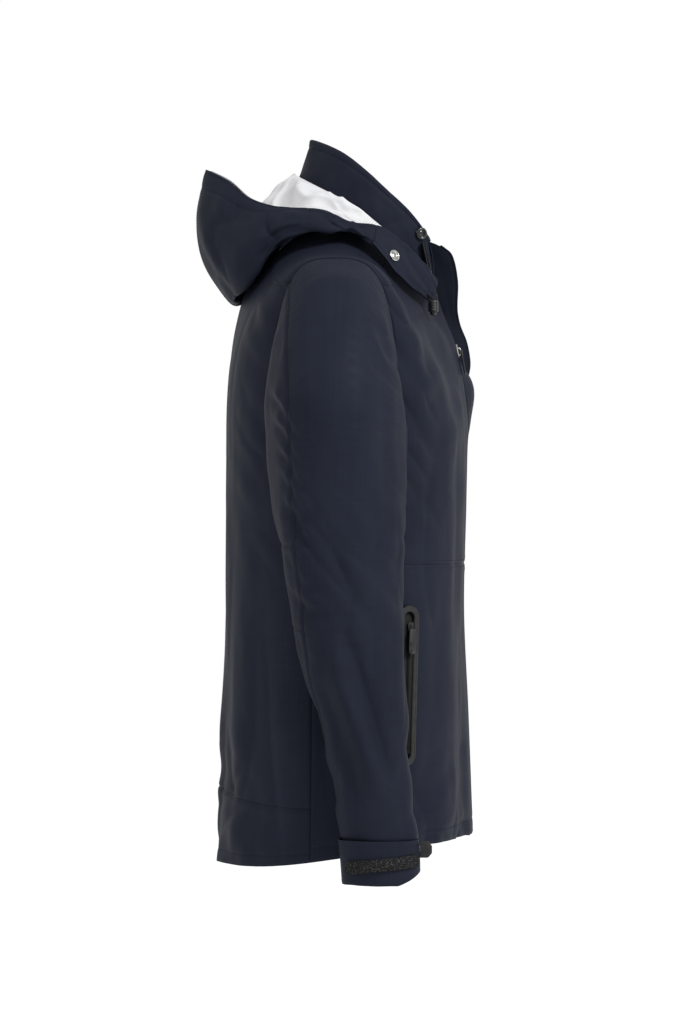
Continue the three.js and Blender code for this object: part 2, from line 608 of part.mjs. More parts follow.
// Storm flap: a strip that stands forward along the left front edge beside the open zip
const FLAP_EDGE = smoothCurve([50, -134, -30], [49, -150, -48], [42, -155, -74], [28, -155, -108],
  [36, -166, -138], [44, -172, -170], [46, -174, -200], [24, -172, -246]);
const FLAP_ROOT = smoothCurve([54, -126.5, -38], [50, -130.5, -56], [41, -135.5, -78], [28, -144, -108],
  [18, -154.5, -138], [17, -163.5, -170], [15, -169, -200], [13, -171, -246]);

function stormFlap(across, along, depth) {
  const root = FLAP_ROOT.getPoint(along);
  const edge = FLAP_EDGE.getPoint(along);
  const normal = edge.clone().sub(root).cross(FLAP_ROOT.getTangent(along)).normalize();
  return root.lerp(edge, across).addScaledVector(normal, depth);
}

addBody();
addCollar();
addHood();
for (const [word, side] of SIDES) {
  addSleeve(word, side);
  addPocket(word, side);
  addCordLock(word, side);
}
addMainZip();
addPiece('storm_flap', sheet(stormFlap, [0, 1], [0, 1], [2, 10], [0, 1.6]), NAVY_DARK);

export default group;
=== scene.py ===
import json
import math

import bpy
import numpy as np
from mathutils import Matrix, Vector


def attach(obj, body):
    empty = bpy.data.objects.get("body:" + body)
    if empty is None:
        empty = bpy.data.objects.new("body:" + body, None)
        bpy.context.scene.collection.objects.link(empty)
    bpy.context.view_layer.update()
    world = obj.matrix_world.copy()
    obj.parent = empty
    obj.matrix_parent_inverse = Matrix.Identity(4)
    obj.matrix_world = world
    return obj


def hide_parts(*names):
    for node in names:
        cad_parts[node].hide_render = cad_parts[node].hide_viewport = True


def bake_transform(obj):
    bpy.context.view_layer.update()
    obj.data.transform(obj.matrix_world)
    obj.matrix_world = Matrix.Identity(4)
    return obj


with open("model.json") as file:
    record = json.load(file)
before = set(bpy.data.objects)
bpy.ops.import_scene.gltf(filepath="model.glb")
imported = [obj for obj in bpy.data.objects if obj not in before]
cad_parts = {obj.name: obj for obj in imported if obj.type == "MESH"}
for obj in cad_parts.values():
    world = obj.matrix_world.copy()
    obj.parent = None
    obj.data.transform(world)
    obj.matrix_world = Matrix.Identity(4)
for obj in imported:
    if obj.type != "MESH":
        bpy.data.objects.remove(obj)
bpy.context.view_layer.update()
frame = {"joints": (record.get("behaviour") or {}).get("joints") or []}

MM = 0.001

# Driving sizes in millimetres: origin at the hanger loop, the front faces -Y, the wearer's right is -X
MID_Y = -37
SIDE_X = 199.4
ARMPIT_Z = -230
HEM_FRONT_Z = -652
TAIL_DROP = 24
TAIL_SEAM_Z = -600
CHEST_SEAM_Z = -370
CUFF_SEAM_Z = -642
YOKE_SHARE = 0.85
SHELL = 1.3
STITCH = 2.9
SIDES = (("right", -1), ("left", 1))


# ---------------------------------------------------------------- curves and noise

def through(*pairs):
    """A smooth function of one number through [position, value] pairs."""
    xs = np.array([p[0] for p in pairs], float)
    ys = np.array([p[1] for p in pairs], float)
    slopes = np.gradient(ys, xs)

    def at(x):
        x = np.clip(np.asarray(x, float), xs[0], xs[-1])
        k = np.clip(np.searchsorted(xs, x, side="right") - 1, 0, len(xs) - 2)
        span = xs[k + 1] - xs[k]
        t = (x - xs[k]) / span
        rise = 3 * t ** 2 - 2 * t ** 3
        bend = span * (slopes[k] * (t - 2 * t ** 2 + t ** 3) + slopes[k + 1] * (t ** 3 - t ** 2))
        return ys[k] * (1 - rise) + ys[k + 1] * rise + bend
    return at


def path(*points):
    """A smooth curve through points, by share 0 to 1 with each stretch an equal share."""
    points = np.array(points, float)
    steps = np.linspace(0, 1, len(points))
    parts = [through(*zip(steps, points[:, k])) for k in range(3)]
    return lambda share: np.stack([part(share) for part in parts], axis=-1)


def half_path(*points):
    """A curve that is symmetric about X = 0, by share from its middle (0) to its right end (1)."""
    other = [(-x, y, z) for x, y, z in points[:0:-1]]
    whole = path(*other, *points)
    return lambda share: whole(0.5 + np.asarray(share, float) / 2)


def smooth(low, high, value):
    t = np.clip((value - low) / (high - low), 0, 1)
    return t * t * (3 - 2 * t)


def mix(a, b, share):
    return a * (1 - share) + b * share


def mix_points(a, b, share):
    """Points part way from a to b; a share for each point."""
    share = np.asarray(share, float)[..., None]
    return a * (1 - share) + b * share


def unit(vectors):
    return vectors / np.maximum(np.linalg.norm(vectors, axis=-1, keepdims=True), 1e-9)


def lattice(cells, seed):
    """A repeatable random number from 0 to 1 for each whole-number cell."""
    mixed = cells[...,
                  0] * 374761393 + cells[..., 1] * 668265263 + cells[..., 2] * 2147483647 + seed * 974634777
    mixed = (mixed ^ (mixed >> 13)) * 1274126177
    mixed = mixed ^ (mixed >> 16)
    return (mixed & 0xFFFFFF) / float(0xFFFFFF)


def noise(points, size, seed):
    """Smooth noise from -1 to 1; size is the cell size in mm, one number or one for each axis."""
    scaled = points / np.asarray(size, float)
    cell = np.floor(scaled).astype(np.int64)
    part = scaled - cell
    part = part * part * (3 - 2 * part)
    total = 0
    for dx in (0, 1):
        for dy in (0, 1):
            for dz in (0, 1):
                corner = lattice(cell + np.array([dx, dy, dz]), seed)
                weight = np.abs(1 - dx - part[..., 0]) * np.abs(1 - dy - part[..., 1])
                total = total + corner * weight * np.abs(1 - dz - part[..., 2])
    return total * 2 - 1


def flat_noise(u, v, size, seed):
    """Noise over two lengths in mm."""
    return noise(np.stack([u, v, np.zeros_like(u)], axis=-1), (size[0], size[1], 1), seed)


def creases(points, size, seed):
    """Noise from 0 to -1 that falls into narrow valleys between broad ridges."""
    return -(1 - np.abs(noise(points, size, seed))) ** 3


def flat_creases(u, v, size, seed):
    """Creases laid out by a cloth's own two measures, u across it and v along it."""
    return creases(np.stack([u, v, 0 * u], axis=-1), (*size, 1), seed)


def stroke(points, line, width, height):
    """A soft ridge (height above 0) or valley along a line of points, fading at both ends."""
    line = np.array(line, float)
    lengths = np.linalg.norm(np.diff(line, axis=0), axis=1)
    whole = lengths.sum()
    gone = 0
    best = np.full(points.shape[:-1], 1e9)
    along = np.zeros(points.shape[:-1])
    for a, b, length in zip(line[:-1], line[1:], lengths):
        t = np.clip(((points - a) @ (b - a)) / length ** 2, 0, 1)
        away = np.linalg.norm(points - (a + t[..., None] * (b - a)), axis=-1)
        nearer = away < best
        best = np.where(nearer, away, best)
        along = np.where(nearer, (gone + t * length) / whole, along)
        gone += length
    fade = smooth(0, 0.3, along) * smooth(1, 0.7, along)
    return height * np.exp(-(best / width) ** 2) * fade


# ---------------------------------------------------------------- meshes

def add_mesh(name, points, faces, material, uvs=None, flat=False):
    mesh = bpy.data.meshes.new(name)
    faces = np.asarray(faces) if not isinstance(faces, list) else faces
    mesh.from_pydata((np.asarray(points, float) * MM).tolist(), [],
                     faces.tolist() if isinstance(faces, np.ndarray) else faces)
    layer = mesh.uv_layers.new(name="cut")
    if uvs is not None:
        index = np.empty(len(mesh.loops), int)
        mesh.loops.foreach_get("vertex_index", index)
        layer.data.foreach_set("uv", (np.asarray(uvs)[index] * MM).ravel())
    mesh.polygons.foreach_set("use_smooth", [not flat] * len(mesh.polygons))
    mesh.materials.append(material)
    mesh.update()
    piece = bpy.data.objects.new(name, mesh)
    bpy.context.scene.collection.objects.link(piece)
    return piece


def turn_outward(piece):
    """Turns a closed mesh's faces outwards."""
    mesh = piece.data
    mesh.calc_loop_triangles()
    co = np.empty(len(mesh.vertices) * 3)
    mesh.vertices.foreach_get("co", co)
    co = co.reshape(-1, 3)
    tris = np.empty(len(mesh.loop_triangles) * 3, int)
    mesh.loop_triangles.foreach_get("vertices", tris)
    tris = tris.reshape(-1, 3)
    if np.einsum("ij,ij->i", co[tris[:, 0]], np.cross(co[tris[:, 1]], co[tris[:, 2]])).sum() < 0:
        mesh.flip_normals()
        mesh.update()


def join(pieces, name):
    """Joins pieces that share one material into one object."""
    verts, faces = [], []
    material = pieces[0].data.materials[0]
    count = 0
    for piece in pieces:
        mesh = piece.data
        matrix = np.array(piece.matrix_world)
        co = np.empty(len(mesh.vertices) * 3)
        mesh.vertices.foreach_get("co", co)
        co = co.reshape(-1, 3) @ matrix[:3, :3].T + matrix[:3, 3]
        verts.append(co / MM)
        faces += [tuple(k + count for k in polygon.vertices) for polygon in mesh.polygons]
        count += len(co)
        bpy.data.objects.remove(piece)
    return add_mesh(name, np.concatenate(verts), faces, material)


def packed(low, high, length, pitch, marks):
    """Positions from low to high about one pitch apart, closer together beside the marks."""
    count = max(2, int(round(length / pitch)))
    span = high - low
    values = list(np.linspace(low, high, count + 1))
    near = []
    for mark in marks:
        for offset in (0.0, 0.55, 1.2, 2.1, 3.3, 4.8):
            for way in (-1, 1):
                value = mark + way * offset / length * span
                if min(low, high) <= value <= max(low, high):
                    near.append(value)
    reach = 0.6 * pitch / length * abs(span)
    near = sorted(set(round(v, 9) for v in near))
    kept = [v for v in values if not near or min(abs(v - n) for n in near) > 0.35 * reach or v in (low,
                                                                                                   high)]
    merged = sorted(set(round(v, 9) for v in kept + near))
    if high < low:
        merged = merged[::-1]
    return np.array(merged)


def place_in(values, wanted):
    """Where the wanted values fall in a rising or falling list, as a fractional index."""
    index = np.arange(len(values))
    if values[0] > values[-1]:
        values, index = values[::-1], index[::-1]
    return np.interp(wanted, values, index)


class Patch:
    """A sheet of cloth over surface(a, b), with folds raised on it and its seams pressed into it."""

    def __init__(self, surface, a_span, b_span, pitch, centre, folds=None, seams=(), ring=False,
                 soften=None):
        self.ring = ring
        self.seams = seams
        rough_a, rough_b = np.meshgrid(np.linspace(*a_span, 25), np.linspace(*b_span, 25), indexing="ij")
        rough = surface(rough_a, rough_b)
        length_a = np.linalg.norm(np.diff(rough, axis=0), axis=-1).sum(axis=0).max()
        length_b = np.linalg.norm(np.diff(rough, axis=1), axis=-1).sum(axis=1).max()
        marks = {"a": [s["at"] for s in seams if s["on"] == "a"],
                 "b": [s["at"] for s in seams if s["on"] == "b"]}
        self.a = packed(*a_span, length_a, pitch, marks["a"])
        self.b = packed(*b_span, length_b, pitch, marks["b"])
        if ring:
            self.a = self.a[:-1]
        grid_a, grid_b = np.meshgrid(self.a, self.b, indexing="ij")
        points = surface(grid_a, grid_b)
        if soften is not None:
            points = soften(points, grid_a, grid_b)
        self.points = points
        self.centre = np.array(centre, float)
        normal = self.find_normals()
        height = self.seam_heights(grid_a, grid_b)
        if folds is not None:
            height = height + folds(points, grid_a, grid_b)
        self.points = points + normal * height[..., None]
        self.normals = self.find_normals()

    def slopes(self):
        if self.ring:
            across = np.roll(self.points, -1, axis=0) - np.roll(self.points, 1, axis=0)
            step = self.a[1] - self.a[0]
            across = across / (2 * step)
        else:
            across = np.gradient(self.points, self.a, axis=0)
        return across, np.gradient(self.points, self.b, axis=1)

    def find_normals(self):
        across, along = self.slopes()
        normal = unit(np.cross(across, along))
        out = self.points - self.centre
        if self.centre[2] == 0:
            out = out * np.array([1, 1, 0])
        sign = 1 if np.sum(normal * out) > 0 else -1
        return normal * sign

    def seam_heights(self, grid_a, grid_b):
        across, along = self.slopes()
        metric = {"a": np.linalg.norm(across, axis=-1), "b": np.linalg.norm(along, axis=-1)}
        value = {"a": grid_a, "b": grid_b}
        total = np.zeros(grid_a.shape)
        pucker = 1 + 0.6 * noise(self.points, 8, 71)
        for seam in self.seams:
            on, other = seam["on"], "b" if seam["on"] == "a" else "a"
            away = (value[on] - seam["at"]) * metric[on]
            low, high = seam.get("span", (-9, 9))
            inside = smooth(low - 1e-6, low + 1e-6,
                            value[other]) * smooth(high + 1e-6, high - 1e-6, value[other])
            depth = seam.get("depth", 0.9)
            total -= depth * np.exp(-(away / 1.5) ** 2) * inside
            for row in seam.get("rows", ()):
                total -= 0.22 * depth * pucker * np.exp(-((away - row) / 1.2) ** 2) * inside
            total += 0.3 * depth * pucker * np.exp(-((np.abs(away) - 6) / 3.5) ** 2) * inside
        return total

    def build(self, name, material, thick=SHELL):
        points, normal = self.points, self.normals
        columns, rows = points.shape[:2]
        verts = np.concatenate([points.reshape(-1, 3), (points - normal * thick).reshape(-1, 3)])
        steps_a = np.linalg.norm(np.diff(points, axis=0), axis=-1)
        steps_b = np.linalg.norm(np.diff(points, axis=1), axis=-1)
        middle = rows // 2
        u = np.concatenate([[0], np.cumsum(steps_a[:, middle])])
        v = np.concatenate([[0], np.cumsum(steps_b[columns // 2])])
        uv = np.stack(np.meshgrid(u, v, indexing="ij"), axis=-1).reshape(-1, 2)
        index = np.arange(columns * rows).reshape(columns, rows)
        after = np.roll(index, -1, axis=0) if self.ring else index[1:]
        before = index if self.ring else index[:-1]
        count = columns * rows

        def quads(a, b, c, d):
            return np.stack([a.ravel(), b.ravel(), c.ravel(), d.ravel()], axis=1)
        faces = [quads(before[:, :-1], after[:, :-1], after[:, 1:], before[:, 1:]),
                 quads(before[:, 1:] + count, after[:, 1:] + count, after[:, :-1] + count,
                       before[:, :-1] + count),
                 quads(before[:, 0] + count, after[:, 0] + count, after[:, 0], before[:, 0]),
                 quads(before[:, -1], after[:, -1], after[:, -1] + count, before[:, -1] + count)]
        if not self.ring:
            first, last = index[0], index[-1]
            faces += [quads(first[:-1], first[1:], first[1:] + count, first[:-1] + count),
                      quads(last[:-1] + count, last[1:] + count, last[1:], last[:-1])]
        piece = add_mesh(name, verts, np.concatenate(faces), material, np.concatenate([uv, uv]))
        turn_outward(piece)
        return piece

    def sample(self, a, b):
        """Points and normals at the given shares."""
        ia = place_in(self.a, a)
        ib = place_in(self.b, b)
        ka = np.clip(ia.astype(int), 0, len(self.a) - 2)
        kb = np.clip(ib.astype(int), 0, len(self.b) - 2)
        ta, tb = (ia - ka)[..., None], (ib - kb)[..., None]

        def blend(grid):
            low = grid[ka, kb] * (1 - ta) + grid[ka + 1, kb] * ta
            high = grid[ka, kb + 1] * (1 - ta) + grid[ka + 1, kb + 1] * ta
            return low * (1 - tb) + high * tb
        return blend(self.points), unit(blend(self.normals))

    def rows(self):
        """The lines of top stitching beside each seam."""
        across, along = self.slopes()
        lines = []
        for seam in self.seams:
            for row in seam.get("rows", ()):
                if seam["on"] == "a":
                    column = np.argmin(np.abs(self.a - seam["at"]))
                    metric = np.linalg.norm(across[column], axis=-1)
                    low, high = seam.get("span", (self.b[0], self.b[-1]))
                    keep = (self.b >= low) & (self.b <= high)
                    b = self.b[keep]
                    a = seam["at"] + row / metric[keep]
                else:
                    line = np.argmin(np.abs(self.b - seam["at"]))
                    metric = np.linalg.norm(along[:, line], axis=-1)
                    low, high = seam.get("span", (self.a[0], self.a[-1]))
                    keep = (self.a >= low) & (self.a <= high)
                    a = self.a[keep]
                    b = seam["at"] + row / metric[keep]
                lines.append(self.sample(a, b))
        return lines


def seam(on, at, rows=(), **more):
    return dict(on=on, at=at, rows=rows, **more)


def stitches(name, lines, material, pitch=STITCH, length=2.1, radius=0.3):
    """Rows of small raised stitches along lines of points."""
    all_verts, all_faces = [], []
    count = 0
    pattern = np.array([(0, 2, 4), (1, 4, 2), (0, 4, 3), (1, 3, 4), (0, 3, 5), (1, 5, 3), (0, 5, 2),
                        (1, 2, 5)])
    for points, normal in lines:
        gone = np.concatenate([[0], np.cumsum(np.linalg.norm(np.diff(points, axis=0), axis=1))])
        middles = np.arange(pitch, gone[-1] - pitch / 2, pitch)
        if len(middles) == 0:
            continue

        def at(values, s):
            return np.stack([np.interp(s, gone, values[:, k]) for k in range(3)], axis=-1)
        start, end, up = at(points,
                            middles - length / 2), at(points, middles + length / 2), at(normal, middles)
        start, end = start + up * 0.05, end + up * 0.05
        side = unit(np.cross(end - start, up)) * radius
        middle = (start + end) / 2
        verts = np.stack([start, end, middle + side, middle - side, middle + up * radius * 1.2,
                          middle - up * radius], axis=1)
        faces = pattern[None] + 6 * np.arange(len(middles))[:, None, None] + count
        all_verts.append(verts.reshape(-1, 3))
        all_faces.append(faces.reshape(-1, 3))
        count += 6 * len(middles)
    return add_mesh(name, np.concatenate(all_verts), np.concatenate(all_faces), material)


def lathe(name, profile, material, segments=40):
    """A turned piece about its own +Z, from (radius, height) pairs that start and end on the axis."""
    verts, faces, rings = [], [], []
    for radius, height in profile:
        if radius < 1e-6:
            rings.append([len(verts)])
            verts.append((0, 0, height))
            continue
        rings.append(list(range(len(verts), len(verts) + segments)))
        for k in range(segments):
            angle = 2 * math.pi * k / segments
            verts.append((radius * math.cos(angle), radius * math.sin(angle), height))
    for low, high in zip(rings[:-1], rings[1:]):
        for k in range(segments):
            m = (k + 1) % segments
            if len(low) == 1:
                faces.append((low[0], high[m], high[k]))
            elif len(high) == 1:
                faces.append((low[k], low[m], high[0]))
            else:
                faces.append((low[k], low[m], high[m], high[k]))
    piece = add_mesh(name, np.array(verts), faces, material)
    turn_outward(piece)
    return piece


def extrusion(name, outline, low, high, material):
    """A plate with the given outline in X and Y, from height low to high."""
    outline = np.asarray(outline, float)
    count = len(outline)
    verts = np.concatenate([np.c_[outline, np.full(count, low)], np.c_[outline, np.full(count, high)]])
    faces = [tuple(range(count))[::-1], tuple(range(count, 2 * count))]
    faces += [(k, (k + 1) % count, count + (k + 1) % count, count + k) for k in range(count)]
    piece = add_mesh(name, verts, faces, material, flat=True)
    turn_outward(piece)
    return piece


def tube(name, points, radius, material, segments=8, squash=1.0, up=(0, 0, 1)):
    """A round bar along points, closed at both ends; radius may vary along it."""
    points = np.asarray(points, float)
    radius = np.broadcast_to(radius, len(points))
    ahead = unit(np.gradient(points, axis=0))
    side = unit(np.cross(ahead, np.array(up, float)))
    over = np.cross(side, ahead)
    angles = np.linspace(0, 2 * np.pi, segments, endpoint=False)
    rings = points[:, None] + radius[:, None, None] * (np.cos(angles)[None, :, None] * side[:, None]
                                                      + squash * np.sin(angles)[None, :,
                                                                                None] * over[:, None])
    count = len(points)
    faces = []
    for i in range(count - 1):
        for k in range(segments):
            m = (k + 1) % segments
            faces.append((i * segments + k, i * segments + m, (i + 1) * segments + m,
                          (i + 1) * segments + k))
    faces.append(tuple(range(segments))[::-1])
    faces.append(tuple((count - 1) * segments + k for k in range(segments)))
    piece = add_mesh(name, rings.reshape(-1, 3), faces, material)
    turn_outward(piece)
    return piece


def basis(across, along, out, point):
    matrix = Matrix.Identity(4)
    for k, axis in enumerate((across, along, out)):
        for row in range(3):
            matrix[row][k] = float(axis[row])
    matrix.translation = Vector([float(c) * MM for c in point])
    return matrix


def place_on(piece, point, normal):
    """Turns a piece's +Z to normal and moves it to the point, in its mesh."""
    turn = Vector((0, 0, 1)).rotation_difference(Vector([float(c) for c in normal]))
    matrix = turn.to_matrix().to_4x4()
    matrix.translation = Vector([float(c) * MM for c in point])
    piece.data.transform(matrix)


def round_edges(piece, width, segments=2, angle=30):
    """Rounds the sharp edges of a hard piece."""
    for polygon in piece.data.polygons:
        polygon.use_smooth = True
    bevel = piece.modifiers.new("edges", "BEVEL")
    bevel.width = width * MM
    bevel.segments = segments
    bevel.limit_method = "ANGLE"
    bevel.angle_limit = math.radians(angle)
    bevel.harden_normals = False
    piece.modifiers.new("shade", "WEIGHTED_NORMAL")


# ---------------------------------------------------------------- materials

def new_material(name):
    material = bpy.data.materials.new(name)
    material.use_nodes = True
    tree = material.node_tree
    return material, tree.nodes, tree.links, tree.nodes["Principled BSDF"]


def node(nodes, kind, **values):
    made = nodes.new(kind)
    for key, value in values.items():
        setattr(made, key, value)
    return made


def texture(nodes, links, coords, kind, scale, stretch=(1, 1, 1), **sockets):
    mapping = nodes.new("ShaderNodeMapping")
    mapping.inputs["Scale"].default_value = stretch
    links.new(coords, mapping.inputs["Vector"])
    made = nodes.new(kind)
    made.inputs["Scale"].default_value = scale
    for key, value in sockets.items():
        made.inputs[key].default_value = value
    links.new(mapping.outputs["Vector"], made.inputs["Vector"])
    return made


def math_node(nodes, links, operation, a, b):
    made = node(nodes, "ShaderNodeMath", operation=operation)
    for socket, value in zip(made.inputs, (a, b)):
        if isinstance(value, (int, float)):
            socket.default_value = value
        else:
            links.new(value, socket)
    return made.outputs[0]


def colour_ramp(nodes, links, value, stops):
    ramp = nodes.new("ShaderNodeValToRGB")
    ramp.color_ramp.elements[0].position = stops[0][0]
    ramp.color_ramp.elements[0].color = (*stops[0][1], 1)
    ramp.color_ramp.elements[1].position = stops[-1][0]
    ramp.color_ramp.elements[1].color = (*stops[-1][1], 1)
    for position, colour in stops[1:-1]:
        ramp.color_ramp.elements.new(position).color = (*colour, 1)
    links.new(value, ramp.inputs["Fac"])
    return ramp.outputs["Color"]


def add_bump(nodes, links, shader, height, distance, strength=1.0, before=None):
    bump = nodes.new("ShaderNodeBump")
    bump.inputs["Distance"].default_value = distance
    bump.inputs["Strength"].default_value = strength
    links.new(height, bump.inputs["Height"])
    if before is not None:
        links.new(before, bump.inputs["Normal"])
    links.new(bump.outputs["Normal"], shader.inputs["Normal"])
    return bump.outputs["Normal"]


def threads(nodes, links, coords, thread):
    """Crossing threads, as the two waves of a plain weave."""
    waves = []
    for direction in ("X", "Y"):
        wave = texture(nodes, links, coords, "ShaderNodeTexWave", 1 / thread / math.pi)
        wave.bands_direction = direction
        waves.append(wave.outputs["Fac"])
    return waves


def woven(name, dark, light, rough, thread, sheen=0.0, slub=0.3):
    """Woven cloth: crossing threads of the given size in metres, slubs and a faint uneven tone."""
    material, nodes, links, shader = new_material(name)
    uv = nodes.new("ShaderNodeUVMap").outputs["UV"]
    warp, weft = threads(nodes, links, uv, thread)
    weave = math_node(nodes, links, "MULTIPLY", warp, weft)
    down = texture(nodes, links, uv, "ShaderNodeTexNoise", 420, (1, 0.05, 1), Detail=3.0)
    across = texture(nodes, links, uv, "ShaderNodeTexNoise", 420, (0.05, 1, 1), Detail=3.0)
    slubs = math_node(nodes, links, "ADD", down.outputs["Fac"], across.outputs["Fac"])
    object_at = nodes.new("ShaderNodeTexCoord").outputs["Object"]
    tone = texture(nodes, links, object_at, "ShaderNodeTexNoise", 9, Detail=4.0)
    total = math_node(nodes, links, "MULTIPLY", slubs, slub)
    total = math_node(nodes, links, "ADD", total,
                      math_node(nodes, links, "MULTIPLY", tone.outputs["Fac"], 0.5))
    total = math_node(nodes, links, "SUBTRACT", total, slub + 0.25 - 0.5)
    links.new(colour_ramp(nodes, links, total, ((0.3, dark), (0.7, light))), shader.inputs["Base Color"])
    shader.inputs["Roughness"].default_value = rough
    shader.inputs["Sheen Weight"].default_value = sheen
    shader.inputs["Sheen Roughness"].default_value = 0.45
    shader.inputs["Specular IOR Level"].default_value = 0.025
    low = add_bump(nodes, links, shader, weave, thread * 0.2, 0.5)
    add_bump(nodes, links, shader, slubs, 0.00016, 0.3, low)
    return material


def hook_and_loop():
    material, nodes, links, shader = new_material("hook_and_loop")
    at = nodes.new("ShaderNodeTexCoord").outputs["Object"]
    fine = texture(nodes, links, at, "ShaderNodeTexNoise", 900, Detail=4.0, Roughness=0.7)
    curls = texture(nodes, links, at, "ShaderNodeTexVoronoi", 800)
    both = math_node(nodes, links, "MULTIPLY", fine.outputs["Fac"], curls.outputs["Distance"])
    stops = ((0.05, (0.003, 0.003, 0.0032)), (0.25, (0.010, 0.010, 0.0105)), (0.5, (0.045, 0.045, 0.046)))
    links.new(colour_ramp(nodes, links, both, stops), shader.inputs["Base Color"])
    shader.inputs["Roughness"].default_value = 0.9
    shader.inputs["Specular IOR Level"].default_value = 0.03
    add_bump(nodes, links, shader, both, 0.0012, 0.9)
    return material


def plastic(name, colour, rough, gloss):
    material, nodes, links, shader = new_material(name)
    at = nodes.new("ShaderNodeTexCoord").outputs["Object"]
    grain = texture(nodes, links, at, "ShaderNodeTexNoise", 1500, Detail=3.0)
    wear = texture(nodes, links, at, "ShaderNodeTexNoise", 180, Detail=4.0)
    lighter = tuple(c * 1.7 + 0.001 for c in colour)
    ramp = colour_ramp(nodes, links, wear.outputs["Fac"], ((0.35, colour), (0.75, lighter)))
    links.new(ramp, shader.inputs["Base Color"])
    shader.inputs["Roughness"].default_value = rough
    shader.inputs["Specular IOR Level"].default_value = gloss
    add_bump(nodes, links, shader, grain.outputs["Fac"], 0.00008, 0.5)
    return material


def metal(name, colour, rough):
    material, nodes, links, shader = new_material(name)
    at = nodes.new("ShaderNodeTexCoord").outputs["Object"]
    smear = texture(nodes, links, at, "ShaderNodeTexNoise", 700, Detail=4.0)
    darker = tuple(c * 0.75 for c in colour)
    ramp = colour_ramp(nodes, links, smear.outputs["Fac"], ((0.35, darker), (0.65, colour)))
    links.new(ramp, shader.inputs["Base Color"])
    shader.inputs["Metallic"].default_value = 1.0
    links.new(math_node(nodes, links, "MULTIPLY", smear.outputs["Fac"], rough * 2),
              shader.inputs["Roughness"])
    add_bump(nodes, links, shader, smear.outputs["Fac"], 0.00005, 0.4)
    return material


def mesh_lining():
    """White lining knitted in a fine grid."""
    material, nodes, links, shader = new_material("mesh_lining")
    uv = nodes.new("ShaderNodeUVMap").outputs["UV"]
    columns, rows = threads(nodes, links, uv, 0.0026)
    grid = math_node(nodes, links, "MAXIMUM", columns, rows)
    at = nodes.new("ShaderNodeTexCoord").outputs["Object"]
    tone = texture(nodes, links, at, "ShaderNodeTexNoise", 14, Detail=4.0)
    grid_tone = math_node(nodes, links, "MULTIPLY", grid, 0.7)
    both = math_node(nodes, links, "ADD", grid_tone,
                     math_node(nodes, links, "MULTIPLY", tone.outputs["Fac"], 0.5))
    stops = ((0.3, (0.33, 0.33, 0.342)), (0.95, (0.50, 0.50, 0.51)))
    links.new(colour_ramp(nodes, links, both, stops), shader.inputs["Base Color"])
    shader.inputs["Roughness"].default_value = 0.75
    shader.inputs["Sheen Weight"].default_value = 0.05
    add_bump(nodes, links, shader, grid, 0.0004, 0.6)
    return material


NAVY = woven("navy_laminate", (0.0074, 0.0090, 0.0150), (0.0112, 0.0134, 0.0216), 0.5, 0.0011)
NAVY_THREAD = plastic("navy_thread", (0.0075, 0.009, 0.0145), 0.6, 0.05)
DARK = woven("dark_facing", (0.0048, 0.0058, 0.0095), (0.0080, 0.0094, 0.0150), 0.75, 0.0011)
LINING = mesh_lining()
TAPE = woven("zip_tape", (0.0085, 0.0085, 0.0085), (0.018, 0.018, 0.0175), 0.7, 0.0009)
STRIP = hook_and_loop()
BLACK = plastic("black_plastic", (0.0055, 0.0055, 0.006), 0.36, 0.3)
WELD = plastic("welded_frame", (0.0125, 0.0125, 0.0125), 0.5, 0.12)
STEEL = metal("nickel", (0.40, 0.40, 0.39), 0.2)
BLACK_NICKEL = metal("black_nickel", (0.05, 0.05, 0.052), 0.2)


# ---------------------------------------------------------------- camera, light and floor

AIM = Vector((0, -0.033, -0.317))
DISTANCE = 4.5
FRAME_HEIGHT = 1.075
TURN = math.radians(3)


def add_camera():
    data = bpy.data.cameras.new("camera")
    data.sensor_fit = "VERTICAL"
    data.sensor_height = 36
    data.lens = 36 * DISTANCE / FRAME_HEIGHT
    camera = bpy.data.objects.new("camera", data)
    back = Vector((-math.cos(TURN), -math.sin(TURN), 0))
    camera.location = AIM + back * DISTANCE
    camera.rotation_euler = (-back).to_track_quat("-Z", "Y").to_euler()
    bpy.context.scene.collection.objects.link(camera)
    bpy.context.scene.camera = camera


def add_light(name, place, size, power):
    data = bpy.data.lights.new(name, "AREA")
    data.size = size
    data.energy = power
    light = bpy.data.objects.new(name, data)
    light.location = place
    light.rotation_euler = (AIM - Vector(place)).to_track_quat("-Z", "Y").to_euler()
    bpy.context.scene.collection.objects.link(light)


def add_room():
    world = bpy.data.worlds.new("studio")
    bpy.context.scene.world = world
    world.use_nodes = True
    world.node_tree.nodes["Background"].inputs["Color"].default_value = (1, 1, 1, 1)
    world.node_tree.nodes["Background"].inputs["Strength"].default_value = 1.0
    add_light("key", (-2.0, -2.2, 2.0), 0.9, 150)
    add_light("back", (-1.2, 2.8, 1.6), 0.9, 22)
    size, floor_z = 30000, -1100
    corners = [(-size, -size, floor_z), (size, -size, floor_z), (size, size, floor_z),
               (-size, size, floor_z)]
    material, nodes, links, shader = new_material("floor")
    shader.inputs["Base Color"].default_value = (1, 1, 1, 1)
    shader.inputs["Roughness"].default_value = 1.0
    floor = add_mesh("floor", corners, [(0, 1, 2, 3)], material)
    bpy.context.scene.view_settings.view_transform = "Standard"


# ---------------------------------------------------------------- body

